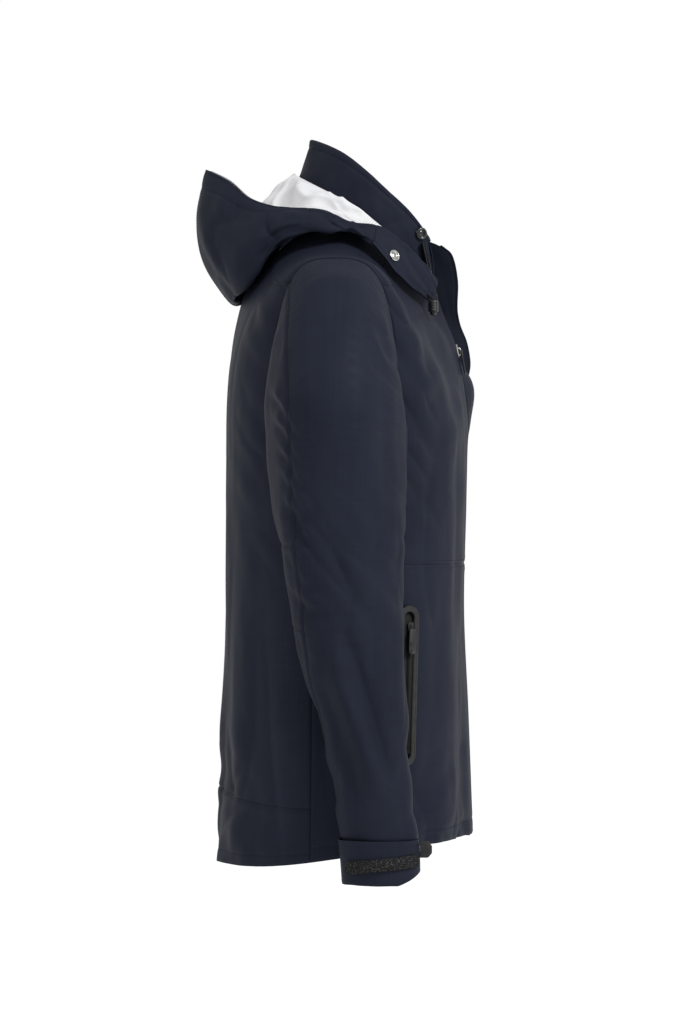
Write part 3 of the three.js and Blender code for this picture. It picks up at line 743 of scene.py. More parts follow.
front_y = through([-660, -171], [-525, -166], [-420, -161.5], [-300, -164], [-230, -164.5])
back_y = through([-690, 98], [-600, 92], [-525, 88], [-370, 86], [-230, 86])
ridge_z = through([0, 12], [45, 1], [75, -22], [110, -42], [150, -54], [200, -62])
edge_x = through([-640, 6], [-400, 6], [-200, 6], [-165, 6], [-152, 6.5], [-140, 12], [-116, 26], [-86, 43],
                 [-60, 54])
edge_flare = through([-300, 0], [-230, 1.5], [-200, 3], [-140, 8], [-116, 9], [-86, 15], [-60, 16])
girth = through([-480, 200.4], [-330, 203], [-240, 212], [-200, 213])
front_arch = through([0, 1.5], [110, 1.55], [160, 1.9], [200, 3.2])
back_arch = through([0, 2.2], [120, 2.3], [160, 2.6], [200, 3.2])
THREAD_LINES = []


def wall(way, x, z):
    """A point of the body front (way -1) or back (way 1) at width x and height z."""
    width = np.abs(x)
    ridge = ridge_z(width)
    rise = np.clip((z - ARMPIT_Z) / (ridge - ARMPIT_Z), 0, 1)
    power = front_arch(width) if way < 0 else back_arch(width)
    thin = (1 - rise ** power) ** (1 / power)
    half = np.abs((front_y(z) if way < 0 else back_y(z)) - MID_Y)
    section = np.clip(1 - (width / girth(z)) ** 2.6, 0, 1) ** (1 / 2.6)
    reach = half * section * thin
    if way < 0:
        beside = np.clip(1 - (width - edge_x(z)) / 45, 0, 1)
        reach = reach + edge_flare(z) * beside ** 2
    return np.stack([x + 0 * z, MID_Y + way * reach, z + 0 * x], axis=-1)


def hem_z(y):
    return HEM_FRONT_Z - TAIL_DROP * smooth(-165, 70, y)


def front_surface(side, low_z, high_z):
    def at(a, b):
        share = np.sin(a * math.pi / 2) ** 0.9
        width = 6 + (SIDE_X - 6) * share
        base = hem_z(wall(-1, width, -640.0)[..., 1]) if low_z is None else low_z
        if high_z is None:
            width = 40 + (SIDE_X - 40) * share
            yoke_z = ARMPIT_Z + (YOKE_SHARE - 0.004) * (ridge_z(width) - ARMPIT_Z)
            top = np.minimum(-81 + (width - 43) * 0.8, yoke_z)
        else:
            top = high_z
        z = base + (top - base) * b
        start = edge_x(z)
        return wall(-1, side * (start + (SIDE_X - start) * share), z)
    return at


def tail_seam_z(width):
    return TAIL_SEAM_Z - 15 * (width / SIDE_X) ** 2


def back_surface(part):
    def at(a, b):
        x = SIDE_X * np.sin(a * math.pi / 2)
        width = np.abs(x)
        share = 0.91 - 0.056 * smooth(49, 76, width)
        base, top = hem_z(wall(1, width, -640.0)[..., 1]), ARMPIT_Z + share * (ridge_z(width) - ARMPIT_Z)
        if part == "tail":
            top = tail_seam_z(width)
        elif part == "back":
            base = tail_seam_z(width)
        return wall(1, x, base + (top - base) * b)
    return at


def side_surface(side):
    def at(a, b):
        width = np.full_like(a, SIDE_X)
        front = wall(-1, width, -640.0)[..., 1]
        low = hem_z(front + (wall(1, width, -640.0)[..., 1] - front) * a)
        z = low + (ARMPIT_Z - low) * b
        y_front = wall(-1, width, z)[..., 1]
        y_back = wall(1, width, z)[..., 1]
        return np.stack([np.full_like(a, side * SIDE_X), y_front + (y_back - y_front) * a, z], axis=-1)
    return at


def yoke_surface(side):
    edge = math.asin(YOKE_SHARE - 0.014)

    def at(a, b):
        angle = edge + (math.pi - 2 * edge) * b
        x = 74 + (SIDE_X - 74) * a
        z = ARMPIT_Z + np.sin(angle) * (ridge_z(x) - ARMPIT_Z) - 0.01
        return np.where((b < 0.5)[..., None], wall(-1, side * x, z), wall(1, side * x, z))
    return at


TILT = np.array([[1, 0, 0], [0, 0.8, 0.6], [0, -0.6, 0.8]])
COUNTER_TILT = TILT.T


def body_folds(points, a=None, b=None):
    """Soft vertical folds, stronger towards the hem, with drag lines at armholes and front corners."""
    x, y, z = points[..., 0], points[..., 1], points[..., 2]
    low = smooth(-220, -600, z)
    height = noise(points, (60, 60, 360), 3) * (1.8 + 4.4 * low)
    height += noise(points, (30, 30, 190), 4) * (1.1 + 2.2 * low)
    height += noise(points, (16, 16, 42), 5) * 0.5
    armhole = np.exp(-((np.abs(x) - 188) / 34) ** 2) * smooth(-430, -250, z) * smooth(-60, -110, z)
    height += noise(points @ TILT, (70, 14, 90), 6) * 3.6 * armhole
    corner = smooth(-520, -640, z) * smooth(-90, -150, y)
    height += noise(points @ COUNTER_TILT, (60, 16, 80), 8) * 4.2 * corner
    tail = smooth(-480, -600, z) * smooth(20, 80, y)
    height += noise(points @ TILT, (60, 20, 100), 9) * 3.8 * tail
    chest = np.exp(-((z + 200) / 90) ** 2) * smooth(-100, -140, y)
    height += noise(points @ COUNTER_TILT, (50, 18, 70), 12) * 2.6 * chest
    height += creases(points, (48, 60, 170), 13) * (1.2 + 2.6 * low)
    height += creases(points @ TILT, (60, 15, 70), 14) * 2.6 * armhole
    height += creases(points @ COUNTER_TILT, (60, 22, 80), 15) * 2.4 * (corner + tail + 0.5 * chest)
    beside = points[..., 1:]
    front = smooth(-96, -112, y)
    height += stroke(beside, [(-100, -90), (-122, -112), (-142, -140), (-158, -176), (-166, -222)], 5,
                     3.4) * front
    height -= stroke(beside, [(-92, -98), (-114, -120), (-134, -148), (-150, -184), (-158, -230)], 4.5,
                     2.4) * front
    height *= mix(1, smooth(14, 56, np.abs(x)), smooth(-60, -110, y))
    left_front = smooth(-100, -120, y) * smooth(4, 20, x)
    height += 13 * np.exp(-((z + 188) / 34) ** 2 - ((x - 42) / 30) ** 2) * left_front
    return height * smooth(-40, -110, z)


def yoke_folds(points, a=None, b=None):
    """The yoke is lapped over the panels below it."""
    return body_folds(points) + 1.1


def wear(piece, body, slot, *nodes):
    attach(piece, body)
    if nodes:
        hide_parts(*nodes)


def build_body():
    centre = (0, MID_Y, 0)
    hem = 14
    for word, side in SIDES:
        chest = Patch(front_surface(side, CHEST_SEAM_Z, None), (0, 1), (0, 1), 3.4, centre, body_folds,
                      [seam("b", 0, (3.5,)), seam("b", 1, (-3.5,)), seam("a", 1)])
        wear(chest.build(f"{word}_chest_cloth", NAVY), "root", "navy_shell", f"{word}_front_panel")
        skirt = Patch(front_surface(side, None, CHEST_SEAM_Z), (0, 1), (0, 1), 3.4, centre, body_folds,
                      [seam("b", 1, (-3.5,)), seam("a", 1), seam("b", hem / 282, (0,), depth=0.4)])
        wear(skirt.build(f"{word}_skirt_cloth", NAVY), "root", "navy_shell", f"{word}_front_panel")
        flank = Patch(side_surface(side), (0, 1), (0, 1), 3.4, centre, body_folds,
                      [seam("a", 0, depth=0.4), seam("a", 1, depth=0.4),
                       seam("b", hem / 430, (0,), depth=0.4)])
        wear(flank.build(f"{word}_side_cloth", NAVY), "root", "navy_shell", f"{word}_side_panel")
        yoke = Patch(yoke_surface(side), (0, 1), (0, 1), 3.0, (side * 130, MID_Y, -150), yoke_folds,
                     [seam("b", 0, (3.5,)), seam("b", 1, (-3.5,)), seam("a", 1, (-4,))])
        wear(yoke.build(f"{word}_yoke_cloth", NAVY), "root", "navy_shell", f"{word}_shoulder_yoke")
        for patch in (chest, skirt, flank, yoke):
            THREAD_LINES.extend(patch.rows())
    back = Patch(back_surface("back"), (-1, 1), (0, 1), 3.4, centre, body_folds,
                 [seam("b", 0, (3.5,)), seam("b", 1), seam("a", -1), seam("a", 1)])
    wear(back.build("back_cloth", NAVY), "root", "navy_shell", "back_panel")
    tail = Patch(back_surface("tail"), (-1, 1), (0, 1), 3.4, centre, body_folds,
                 [seam("b", 1, (-3.5,)), seam("a", -1), seam("a", 1), seam("b", hem / 80, (0,), depth=0.4)])
    wear(tail.build("tail_cloth", NAVY), "root", "navy_shell", "back_tail_panel")
    THREAD_LINES.extend(back.rows() + tail.rows())


def lining_folds(points, a=None, b=None):
    return noise(points, (40, 40, 90), 21) * 2.2 + noise(points @ TILT, (18, 14, 40), 22) * 1.2


def lined_folds(points, a=None, b=None):
    return body_folds(points) + lining_folds(points)


def inward(surface, depth, centre_x=0, centre_y=MID_Y):
    """The same surface drawn in towards a vertical axis."""
    def at(a, b):
        points = surface(a, b)
        out = points - np.array([centre_x, centre_y, 0])
        out[..., 2] = 0
        return points - unit(out) * depth
    return at


def narrowed(surface, low, high, start=0.0, end=1.0):
    return lambda a, b: surface(start + (end - start) * a, low + (high - low) * b)


def build_body_lining():
    centre = (0, MID_Y, 0)
    for word, side in SIDES:
        surface = narrowed(front_surface(side, None, None), 0.03, 0.9, 0.3, 0.93)
        patch = Patch(inward(surface, 11), (0, 1), (0, 1), 6, centre, lined_folds)
        wear(patch.build(f"{word}_front_lining_cloth", LINING, 0.8), "root", "white_lining",
             f"{word}_front_lining")
        surface = narrowed(front_surface(side, None, None), 0.12, 0.46, 0.3, 0.8)
        patch = Patch(inward(surface, 4.6), (0, 1), (0, 1), 6, centre, body_folds,
                      [seam("b", 0.05), seam("b", 0.95), seam("a", 0.05), seam("a", 0.95)])
        wear(patch.build(f"{word}_pocket_bag_cloth", LINING, 0.8), "root", "white_lining",
             f"{word}_pocket_bag")
    surface = inward(narrowed(back_surface("whole"), 0.03, 0.96), 11)
    patch = Patch(surface, (-0.82, 0.82), (0, 1), 6, centre, lined_folds)
    wear(patch.build("back_lining_cloth", LINING, 0.8), "root", "white_lining", "back_lining")


# ---------------------------------------------------------------- collar

NECK_LINE = half_path((0, 21, -1), (-34, 15, -3), (-60, -6, -9), (-73, -40, -20), (-72, -78, -44),
                      (-57, -112, -70), (-35, -134, -84))
COLLAR_TOP = half_path((0, 1, 71), (-35, -20, 62), (-55, -40, 51), (-65, -62, 34), (-67, -83, 15),
                       (-61, -106, -6), (-50, -127, -32))
NECK_CENTRE = np.array([0, -55, 0])


def mirror(points, a):
    """Right-hand points turned to the left where a is positive."""
    flip = np.where(a > 0, -1.0, 1.0)
    return points * np.stack([flip, np.ones_like(flip), np.ones_like(flip)], axis=-1)


def collar_wall(a, b, depth=0.0):
    """a runs -1 to 1 from the right front edge to the left; b runs 0 to 1 up the stand; depth is inward."""
    share = np.abs(a)
    base = NECK_LINE(share) + np.array([0, 0, 1.5])
    points = mix_points(base, COLLAR_TOP(share), b)
    out = (points - NECK_CENTRE) * np.array([1, 1, 0])
    return mirror(points - unit(out) * np.asarray(depth)[..., None], a)


def collar_surface(a, b):
    """Up the outside, over the rolled top edge and down the inside."""
    lift = np.where(b < 1, b, np.where(b < 1.2, 1, 1 - (b - 1.2) * 0.95))
    roll = np.clip((b - 1) / 0.2, 0, 1) * math.pi
    depth = 2.8 * (1 - np.cos(roll))
    points = collar_wall(a, np.clip(lift, -0.24, 1), depth)
    points[..., 2] += 2.8 * np.sin(roll)
    return points


def collar_folds(points, a, b):
    outside = smooth(1.1, 0.95, b)
    u, v = a * 190, b * 70
    height = flat_noise(u + v * 0.6, v, (26, 60), 31) * 1.9 + flat_noise(u - v * 0.5, v, (15, 34), 32) * 0.9
    height += flat_creases(u + v * 0.7, v, (30, 40), 33) * 1.6
    return height * outside


def build_collar():
    patch = Patch(collar_surface, (-0.985, 0.985), (-0.22, 2.25), 2.2, (0, -55, 0), collar_folds,
                  [seam("b", 0.92, (0,), depth=0.5), seam("b", 0.0, depth=0.5)])
    piece = patch.build("collar_cloth", NAVY, 1.1)
    wear(piece, "root", "navy_shell", "collar_outer", "collar_facing")
    THREAD_LINES.extend(patch.rows())
    loop = path((-25, 14, -14), (-18, 5, 0), (0, 1, 4), (18, 5, 0), (25, 14, -14))

    def strap(a, b):
        points = loop(b)
        ahead = unit(loop(np.clip(b + 0.01, 0, 1)) - loop(np.clip(b - 0.01, 0, 1)))
        wide = unit(np.cross(ahead, np.array([0, 1.0, 0.35])))
        return points + wide * (a * 4)[..., None]
    rib = lambda points, a, b: 0.15 * np.cos(a * 18) * smooth(1, 0.9, np.abs(a))
    patch = Patch(strap, (-1, 1), (0, 1), 0.5, (0, 60, 60), rib)
    piece = patch.build("hanger_strap", DARK, 1.4)
    wear(piece, "root", "dark_facing", "hanger_loop")


# ---------------------------------------------------------------- hood

HOOD_RIM = half_path((0, 110, 43), (-40, 86, 30), (-72, 62, 10), (-95, 36, -1), (-103, 15, -4),
                     (-108, -20, -7),
                     (-106, -48, -19), (-98, -73, -22), (-90, -92, -32), (-78, -114, -52), (-62, -138, -76))
HOOD_LOW = half_path((0, 77, -101), (-50, 75, -101), (-87, 60, -86), (-104, 42, -60), (-115, 18, -37),
                     (-124, -18, -31), (-124, -48, -31), (-118, -71, -42), (-112, -93, -70),
                     (-97, -113, -87),
                     (-77, -129, -100))
HOOD_NECK = half_path((0, 27, 1), (-34, 21, -1), (-56, 6, -4), (-70, -6, -8), (-78, -20, -12),
                      (-83, -34, -17),
                      (-84, -50, -24), (-84, -66, -33))
HOOD_CENTRE = np.array([0, -20, 0])
HOOD_SIDE_END = 0.7
hood_bulge = through([0, 25], [0.2, 15], [0.4, 7], [0.7, 3], [1, 2])
hood_sag = through([0, 44], [0.2, 30], [0.4, 9], [0.7, 3])


def hood_outward(points):
    return unit((points - HOOD_CENTRE) * np.array([1, 1, 0]))


def hood_shell(a, b):
    """a runs by station from the middle of the back; b is 0 to 1 down the outside, then to 2 back under."""
    station = np.abs(a)
    rim, low = HOOD_RIM(station), HOOD_LOW(station)
    neck = HOOD_NECK(np.clip(station / HOOD_SIDE_END, 0, 1))
    outward = hood_outward((rim + low) / 2)
    points = np.where((b <= 1)[..., None], mix_points(rim, low, np.clip(b, 0, 1)),
                      mix_points(low, neck, np.clip(b - 1, 0, 1)))
    bulge = np.where(b <= 1, hood_bulge(station), 5.0)
    points = points + outward * (bulge * np.sin(math.pi * (b % 1.0)))[..., None]
    return mirror(points, a)


def hood_bowl(a, b):
    """The lining of the hood: b runs 0 to 1 from the collar down and out to the rim."""
    station = np.abs(a)
    rim = HOOD_RIM(station)
    outward = hood_outward(rim)
    rim = rim - outward * 5 - np.array([0, 0, 1.5])
    part = station / HOOD_SIDE_END
    hold = collar_wall(-0.66 * part, 0.52 - 0.22 * part, -5.0 + 0 * part)
    points = mix_points(hold, rim, b)
    points[..., 2] -= hood_sag(station) * np.sin(math.pi * b ** 1.5)
    return mirror(points, a)


def soften_fold(points, a, b):
    """Rounds the lowest fold of the hood."""
    mask = np.exp(-((b - 1) / 0.1) ** 2)[..., None]
    for _ in range(14):
        average = points.copy()
        average[:, 1:-1] = (points[:, :-2] + 2 * points[:, 1:-1] + points[:, 2:]) / 4
        points = points + (average - points) * mask
    return points


def hood_folds(points, a, b):
    """Folds that run from the rim down into the lowest fold."""
    u, v = a * 330, b * 110
    inner = smooth(0.02, 0.25, b) * smooth(1.98, 1.7, b)
    inner = inner * smooth(0.7, 0.6, np.abs(a))
    height = flat_noise(u, v, (34, 90), 41) * 4.6 * inner
    height += flat_noise(u + v * 0.5, v, (20, 60), 42) * 2.6 * inner
    height += flat_noise(u - v * 0.4, v, (12, 30), 43) * 0.8 * inner
    gather = np.exp(-((np.abs(a) - 0.34) / 0.12) ** 2) * np.exp(-((b - 0.8) / 0.3) ** 2)
    height += flat_noise(u * 0.3, v, (20, 16), 44) * 2.4 * gather
    height += flat_creases(u + v * 0.4, v, (34, 70), 45) * 3.0 * inner
    return height


def bowl_folds(points, a, b):
    u, v = a * 300, b * 90
    height = flat_noise(u + v * 0.7, v, (30, 40), 51) * 4.0 + flat_noise(u - v, v, (16, 26), 52) * 2.2
    height += flat_creases(u + v * 0.9, v, (26, 34), 53) * 3.4
    return height * smooth(0, 0.1, b) * smooth(1, 0.92, b) * smooth(0.7, 0.58, np.abs(a))


def flap_folds(points, a, b):
    u, v = a * 330, b * 60
    height = flat_noise(u + v, v, (30, 26), 61) * 2.2 + flat_noise(u, v, (14, 16), 62) * 0.8
    height += flat_creases(u + v, v, (24, 30), 63) * 2.0
    return height * smooth(0.71, 0.78, np.abs(a))


def blended(piece, child, start, end, slot, *nodes):
    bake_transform(piece)
    if nodes:
        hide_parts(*nodes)


def build_hood():
    sweep = ((0, -35, 0), (0, 60, 0))
    seams = [seam("b", 0.13, (0,), depth=0.4), seam("b", 0.02, (0,), depth=0.3), seam("a", 0, (-3.5, 3.5))]
    for way in (-1, 1):
        for station in (0.46, 0.535):
            seams.append(seam("a", way * station, (-2.5 * way,), span=(0, 0.72), depth=0.7))
    shell = Patch(hood_shell, (-HOOD_SIDE_END, HOOD_SIDE_END), (0, 1.93), 2.6, (0, -20, 0), hood_folds,
                  seams,
                  soften=soften_fold)
    blended(shell.build("hood_cloth", NAVY), "hood", *sweep, "navy_shell", "hood_back_shell",
            "right_hood_side",
            "left_hood_side")
    blended(stitches("hood_thread", shell.rows(), NAVY_THREAD), "hood", *sweep, "navy_shell")
    bowl = Patch(hood_bowl, (-HOOD_SIDE_END, HOOD_SIDE_END), (0, 1), 2.6, (0, 0, 600), bowl_folds,
                 [seam("a", 0, depth=0.7), seam("b", 0.93, depth=0.5)])
    blended(bowl.build("hood_lining_cloth", LINING, 0.8), "hood", *sweep, "white_lining", "hood_back_lining",
            "right_hood_side_lining", "left_hood_side_lining")
    for word, side in SIDES:
        flap = Patch(hood_shell, (side * 0.701, side * 1.0), (0, 1), 2.2, (0, -20, 0), flap_folds,
                     [seam("b", 0.12, (0,), depth=0.4), seam("b", 0.88, (0,), depth=0.4),
                      seam("a", side * 0.975, (0,), depth=0.4), seam("a", side * 0.701, depth=0.6)])
        start, end = (side * 100, -64, -32), (side * 94, -90, -44)
        blended(flap.build(f"{word}_flap_cloth", NAVY, 2.6), f"{word}_hood_flap", start, end, "navy_shell",
                f"{word}_hood_flap")
        blended(stitches(f"{word}_flap_thread", flap.rows(), NAVY_THREAD), f"{word}_hood_flap", start, end,
                "navy_shell")
        add_snap(f"{word}_flap_snap", *flap.sample(np.array([side * 0.79]), np.array([0.66])),
                 f"{word}_hood_flap", f"{word}_hood_snap", side, STEEL)


def snap_profile():
    return [(0, -0.9), (5.0, -0.9), (5.9, -0.4), (6.3, 0.4), (6.2, 1.1), (5.6, 1.7), (4.9, 1.9), (4.2, 1.6),
            (3.8, 1.0), (3.7, 0.6), (2.9, 0.5), (2.6, 0.9), (1.6, 1.15), (0, 1.2)]


def add_snap(name, point, normal, body, replaced, side, finish):
    piece = lathe(name, snap_profile(), finish, 48)
    facing = normal[0]
    if facing[0] * side < 0:
        facing = -facing
    place_on(piece, point[0] + facing * 0.8, facing)
    wear(piece, body, "steel", replaced)


# ---------------------------------------------------------------- sleeves

sleeve_y = through([-690, -86], [-650, -84], [-551, -71.5], [-453, -56.5], [-354, -46.5], [-256, -40.2],
                   [-157, -39])
sleeve_half_y = through([-690, 39], [-650, 40], [-551, 43], [-453, 54], [-354, 64], [-256, 70], [-200, 70.5])
sleeve_half_x = through([-690, 37], [-650, 38], [-551, 43], [-453, 49], [-354, 54])
sleeve_mid_x = through([-690, 250], [-551, 253], [-354, 258])
seam_angle = through([-640, 182], [-560, 171], [-501, 154], [-428, 142], [-344, 133], [-235, 127],
                     [-60, 127])
HEAD_Z = -235
HEAD_REACH = 108
INNER_SEAM = 212


def sleeve_head(share, angle):
    """From the armhole (share 0) round the shoulder to underarm level (share 1); angle in radians."""
    lean = share * math.pi / 2
    half_y = 61 + 9.5 * np.sin(np.minimum(share * 1.6, 1) * math.pi / 2)
    height = 168 * (1 - share) + HEAD_REACH * share
    power = 3.2 * (1 - share) ** 1.4 + 2.0 * (1 - (1 - share) ** 1.4)
    cosine, sine = np.cos(angle), np.sin(angle)
    y = MID_Y - 3 * share - half_y * np.sign(cosine) * np.abs(cosine) ** (2 / power)
    out = np.where(sine > 0, height * np.abs(sine) ** (2 / power), (4 * share) * sine)
    radius = (out + 5 + 4 * share) * (1 - 0.1 * np.sin(2 * lean))
    x = SIDE_X - 1 + 3.5 * share + radius * np.sin(lean)
    return np.stack([x, y, HEAD_Z + radius * np.cos(lean)], axis=-1)


def sleeve_tube(z, angle):
    away = np.clip((HEAD_Z - z) / 120, 0, 1)
    half_x = sleeve_half_x(z)
    base = mix(SIDE_X + 2.5, sleeve_mid_x(z), away)
    reach = mix(HEAD_REACH + 9, half_x, away)
    inner = mix(0.5, half_x, away)
    sine, cosine = np.sin(angle), np.cos(angle)
    x = base + np.where(sine > 0, reach, inner) * sine
    return np.stack([x, sleeve_y(z) - sleeve_half_y(z) * cosine, z + 0 * x], axis=-1)


def sleeve_point(degrees, along, low=CUFF_SEAM_Z):
    """along runs 0 to 1 round the head and 1 to 2 down to the low end."""
    angle = np.radians(degrees)
    head = sleeve_head(np.clip(along, 0, 1), angle)
    z = HEAD_Z + (low - HEAD_Z) * np.clip(along - 1, 0, 1)
    points = np.where((along <= 1)[..., None], head, sleeve_tube(z, angle))
    tucked = np.clip(-along, 0, 1)[..., None]
    return points + tucked * (np.array([SIDE_X - 100, MID_Y, -150]) - points)


def sleeve_z(along):
    return np.where(along <= 1, HEAD_Z + 170 * (1 - along), HEAD_Z + (CUFF_SEAM_Z - HEAD_Z) * (along - 1))


def sleeve_surface(side, panel):
    def at(a, b):
        outer = seam_angle(sleeve_z(b))
        if panel == "front":
            degrees = (INNER_SEAM - 360) * (1 - a) + outer * a
        else:
            degrees = outer * (1 - a) + INNER_SEAM * a
        return sleeve_point(degrees, b) * np.array([side, 1, 1])
    return at


def round_head(points, a, b):
    """Takes the crease out of the join between the head and the tube of a sleeve."""
    mask = np.exp(-((b - 1) / 0.12) ** 2)[..., None]
    for _ in range(30):
        average = points.copy()
        average[:, 1:-1] = (points[:, :-2] + 2 * points[:, 1:-1] + points[:, 2:]) / 4
        points = points + (average - points) * mask
    return points


def sleeve_folds(points, a, b):
    x, y, z = np.abs(points[..., 0]), points[..., 1], points[..., 2]
    local = np.stack([x, y, z], axis=-1)
    fade = smooth(0.0, 0.25, b)
    under = smooth(1.0, 0.1, b) * smooth(-60, -90, y)
    height = noise(local, (46, 46, 240), 81) * 2.8 + noise(local, (24, 24, 130), 82) * 1.6
    height += noise(local @ TILT, (40, 17, 80), 83) * 2.6 * np.exp(-((z + 400) / 90) ** 2)
    height += noise(local @ COUNTER_TILT, (40, 20, 90), 84) * 3.2 * np.exp(-((z + 570) / 90) ** 2)
    height += noise(local, (12, 12, 30), 85) * 0.4
    height += noise(local @ TILT, (40, 12, 60), 86) * 2.8 * under
    height *= mix(0.35, 1, smooth(204, 226, x))
    height += creases(local, (40, 40, 150), 87) * 2.0 * smooth(1.0, 1.3, b)
    height += creases(local @ TILT, (50, 16, 60), 88) * 2.8 * (under + np.exp(-((z + 370) / 80) ** 2))
    height += creases(local @ COUNTER_TILT, (50, 24, 90), 89) * 2.4 * smooth(-470, -560, z)
    beside, outer = local[..., 1:], smooth(236, 262, x)
    for k in range(5):
        drop = 27 * k
        back = 26 - 4 * k
        fold = [(back, -186 - drop), (back - 16, -208 - drop), (back - 34, -244 - drop)]
        under_fold = [(a, c - 11) for a, c in fold]
        height += (stroke(beside, fold, 6, 3.2) - stroke(beside, under_fold, 5, 2.6)) * outer
    for line, width, rise in (([(-24, -410), (-46, -470), (-68, -540), (-90, -610)], 10, 4.0),
                              ([(-40, -400), (-64, -468), (-88, -540), (-104, -600)], 7, -3.0),
                              ([(-22, -470), (-44, -540), (-70, -620)], 6, -2.6),
                              ([(-34, -306), (-8, -330), (12, -352)], 6, -2.4)):
        height += stroke(beside, line, width, rise) * outer
    height *= mix(0.35, 1, smooth(204, 226, x))
    for shift in (0, 1, 2):
        drop = shift * 24
        height += stroke(local, [(262, 8, -330 - drop), (290, -12, -352 - drop), (306, -40, -362 - drop)], 7,
                         3.8)
        height -= stroke(local, [(262, 8, -342 - drop), (290, -12, -364 - drop), (306, -40, -374 - drop)], 6,
                         2.8)
    height += stroke(local, [(292, -30, -440), (296, -60, -520), (290, -90, -610)], 11, 4.4)
    height -= stroke(local, [(294, -50, -440), (296, -78, -520), (284, -104, -600)], 9, 3.2)
    return height * fade


def cuff_edge_z(y):
    return -668 - 16.5 * np.sqrt(np.clip((y + 126.5) / 22.5, 0, 1))


def build_sleeves():
    for word, side in SIDES:
        body = f"{word}_sleeve"
        start, end = (side * 200.6, -45, -232), (side * 262, -45, -360)
        centre = (side * 258, -55, 0)
        elbow = [1 + (HEAD_Z - z) / (HEAD_Z - CUFF_SEAM_Z) for z in (-349, -432)]
        front = Patch(sleeve_surface(side, "front"), (0, 1), (-0.05, 2), 2.8, centre, sleeve_folds,
                      [seam("a", 0), seam("a", 1, (-3.2,)), seam("b", 0), seam("b", 2)], soften=round_head)
        back = Patch(sleeve_surface(side, "back"), (0, 1), (-0.05, 2), 2.8, centre, sleeve_folds,
                     [seam("a", 0, (3.2,)), seam("a", 1), seam("b", 0), seam("b", 2)]
                     + [seam("b", at, (3,)) for at in elbow], soften=round_head)
        blended(front.build(f"{word}_sleeve_front_cloth", NAVY), body, start, end, "navy_shell",
                f"{word}_sleeve_front")
        blended(back.build(f"{word}_sleeve_back_cloth", NAVY), body, start, end, "navy_shell",
                f"{word}_sleeve_back")
        blended(stitches(f"{word}_sleeve_thread", front.rows() + back.rows(), NAVY_THREAD), body, start, end,
                "navy_shell")

        def lining(a, b, side=side):
            points = sleeve_point(a, b, -655)
            middle = np.stack([sleeve_mid_x(points[..., 2]), sleeve_y(points[..., 2]), points[..., 2]],
                              axis=-1)
            head = smooth(1.3, 0.7, b)[..., None]
            drawn = points + unit(middle - points) * 7.4
            drawn += (np.array([SIDE_X + 50, MID_Y, -150]) - points) * 0.22 * head
            return drawn * np.array([side, 1, 1])
        patch = Patch(lining, (0, 360), (0.5, 2), 5, centre, sleeve_folds, ring=True)
        blended(patch.build(f"{word}_sleeve_lining_cloth", LINING, 0.8), body, start, end, "white_lining",
                f"{word}_sleeve_lining")
        build_cuff(word, side, body)


def cuff_point(side, degrees, b, depth=0.0):
    angle = np.radians(degrees)
    low = cuff_edge_z(sleeve_tube(-670.0 + 0 * degrees, angle)[..., 1])
    z = CUFF_SEAM_Z + 1 + (low - CUFF_SEAM_Z - 1) * b
    points = sleeve_tube(z, angle)
    middle = np.stack([sleeve_mid_x(z), sleeve_y(z), z], axis=-1)
    points = points + unit((points - middle) * np.array([1, 1, 0])) * np.asarray(depth)[..., None]
    return points * np.array([side, 1, 1])


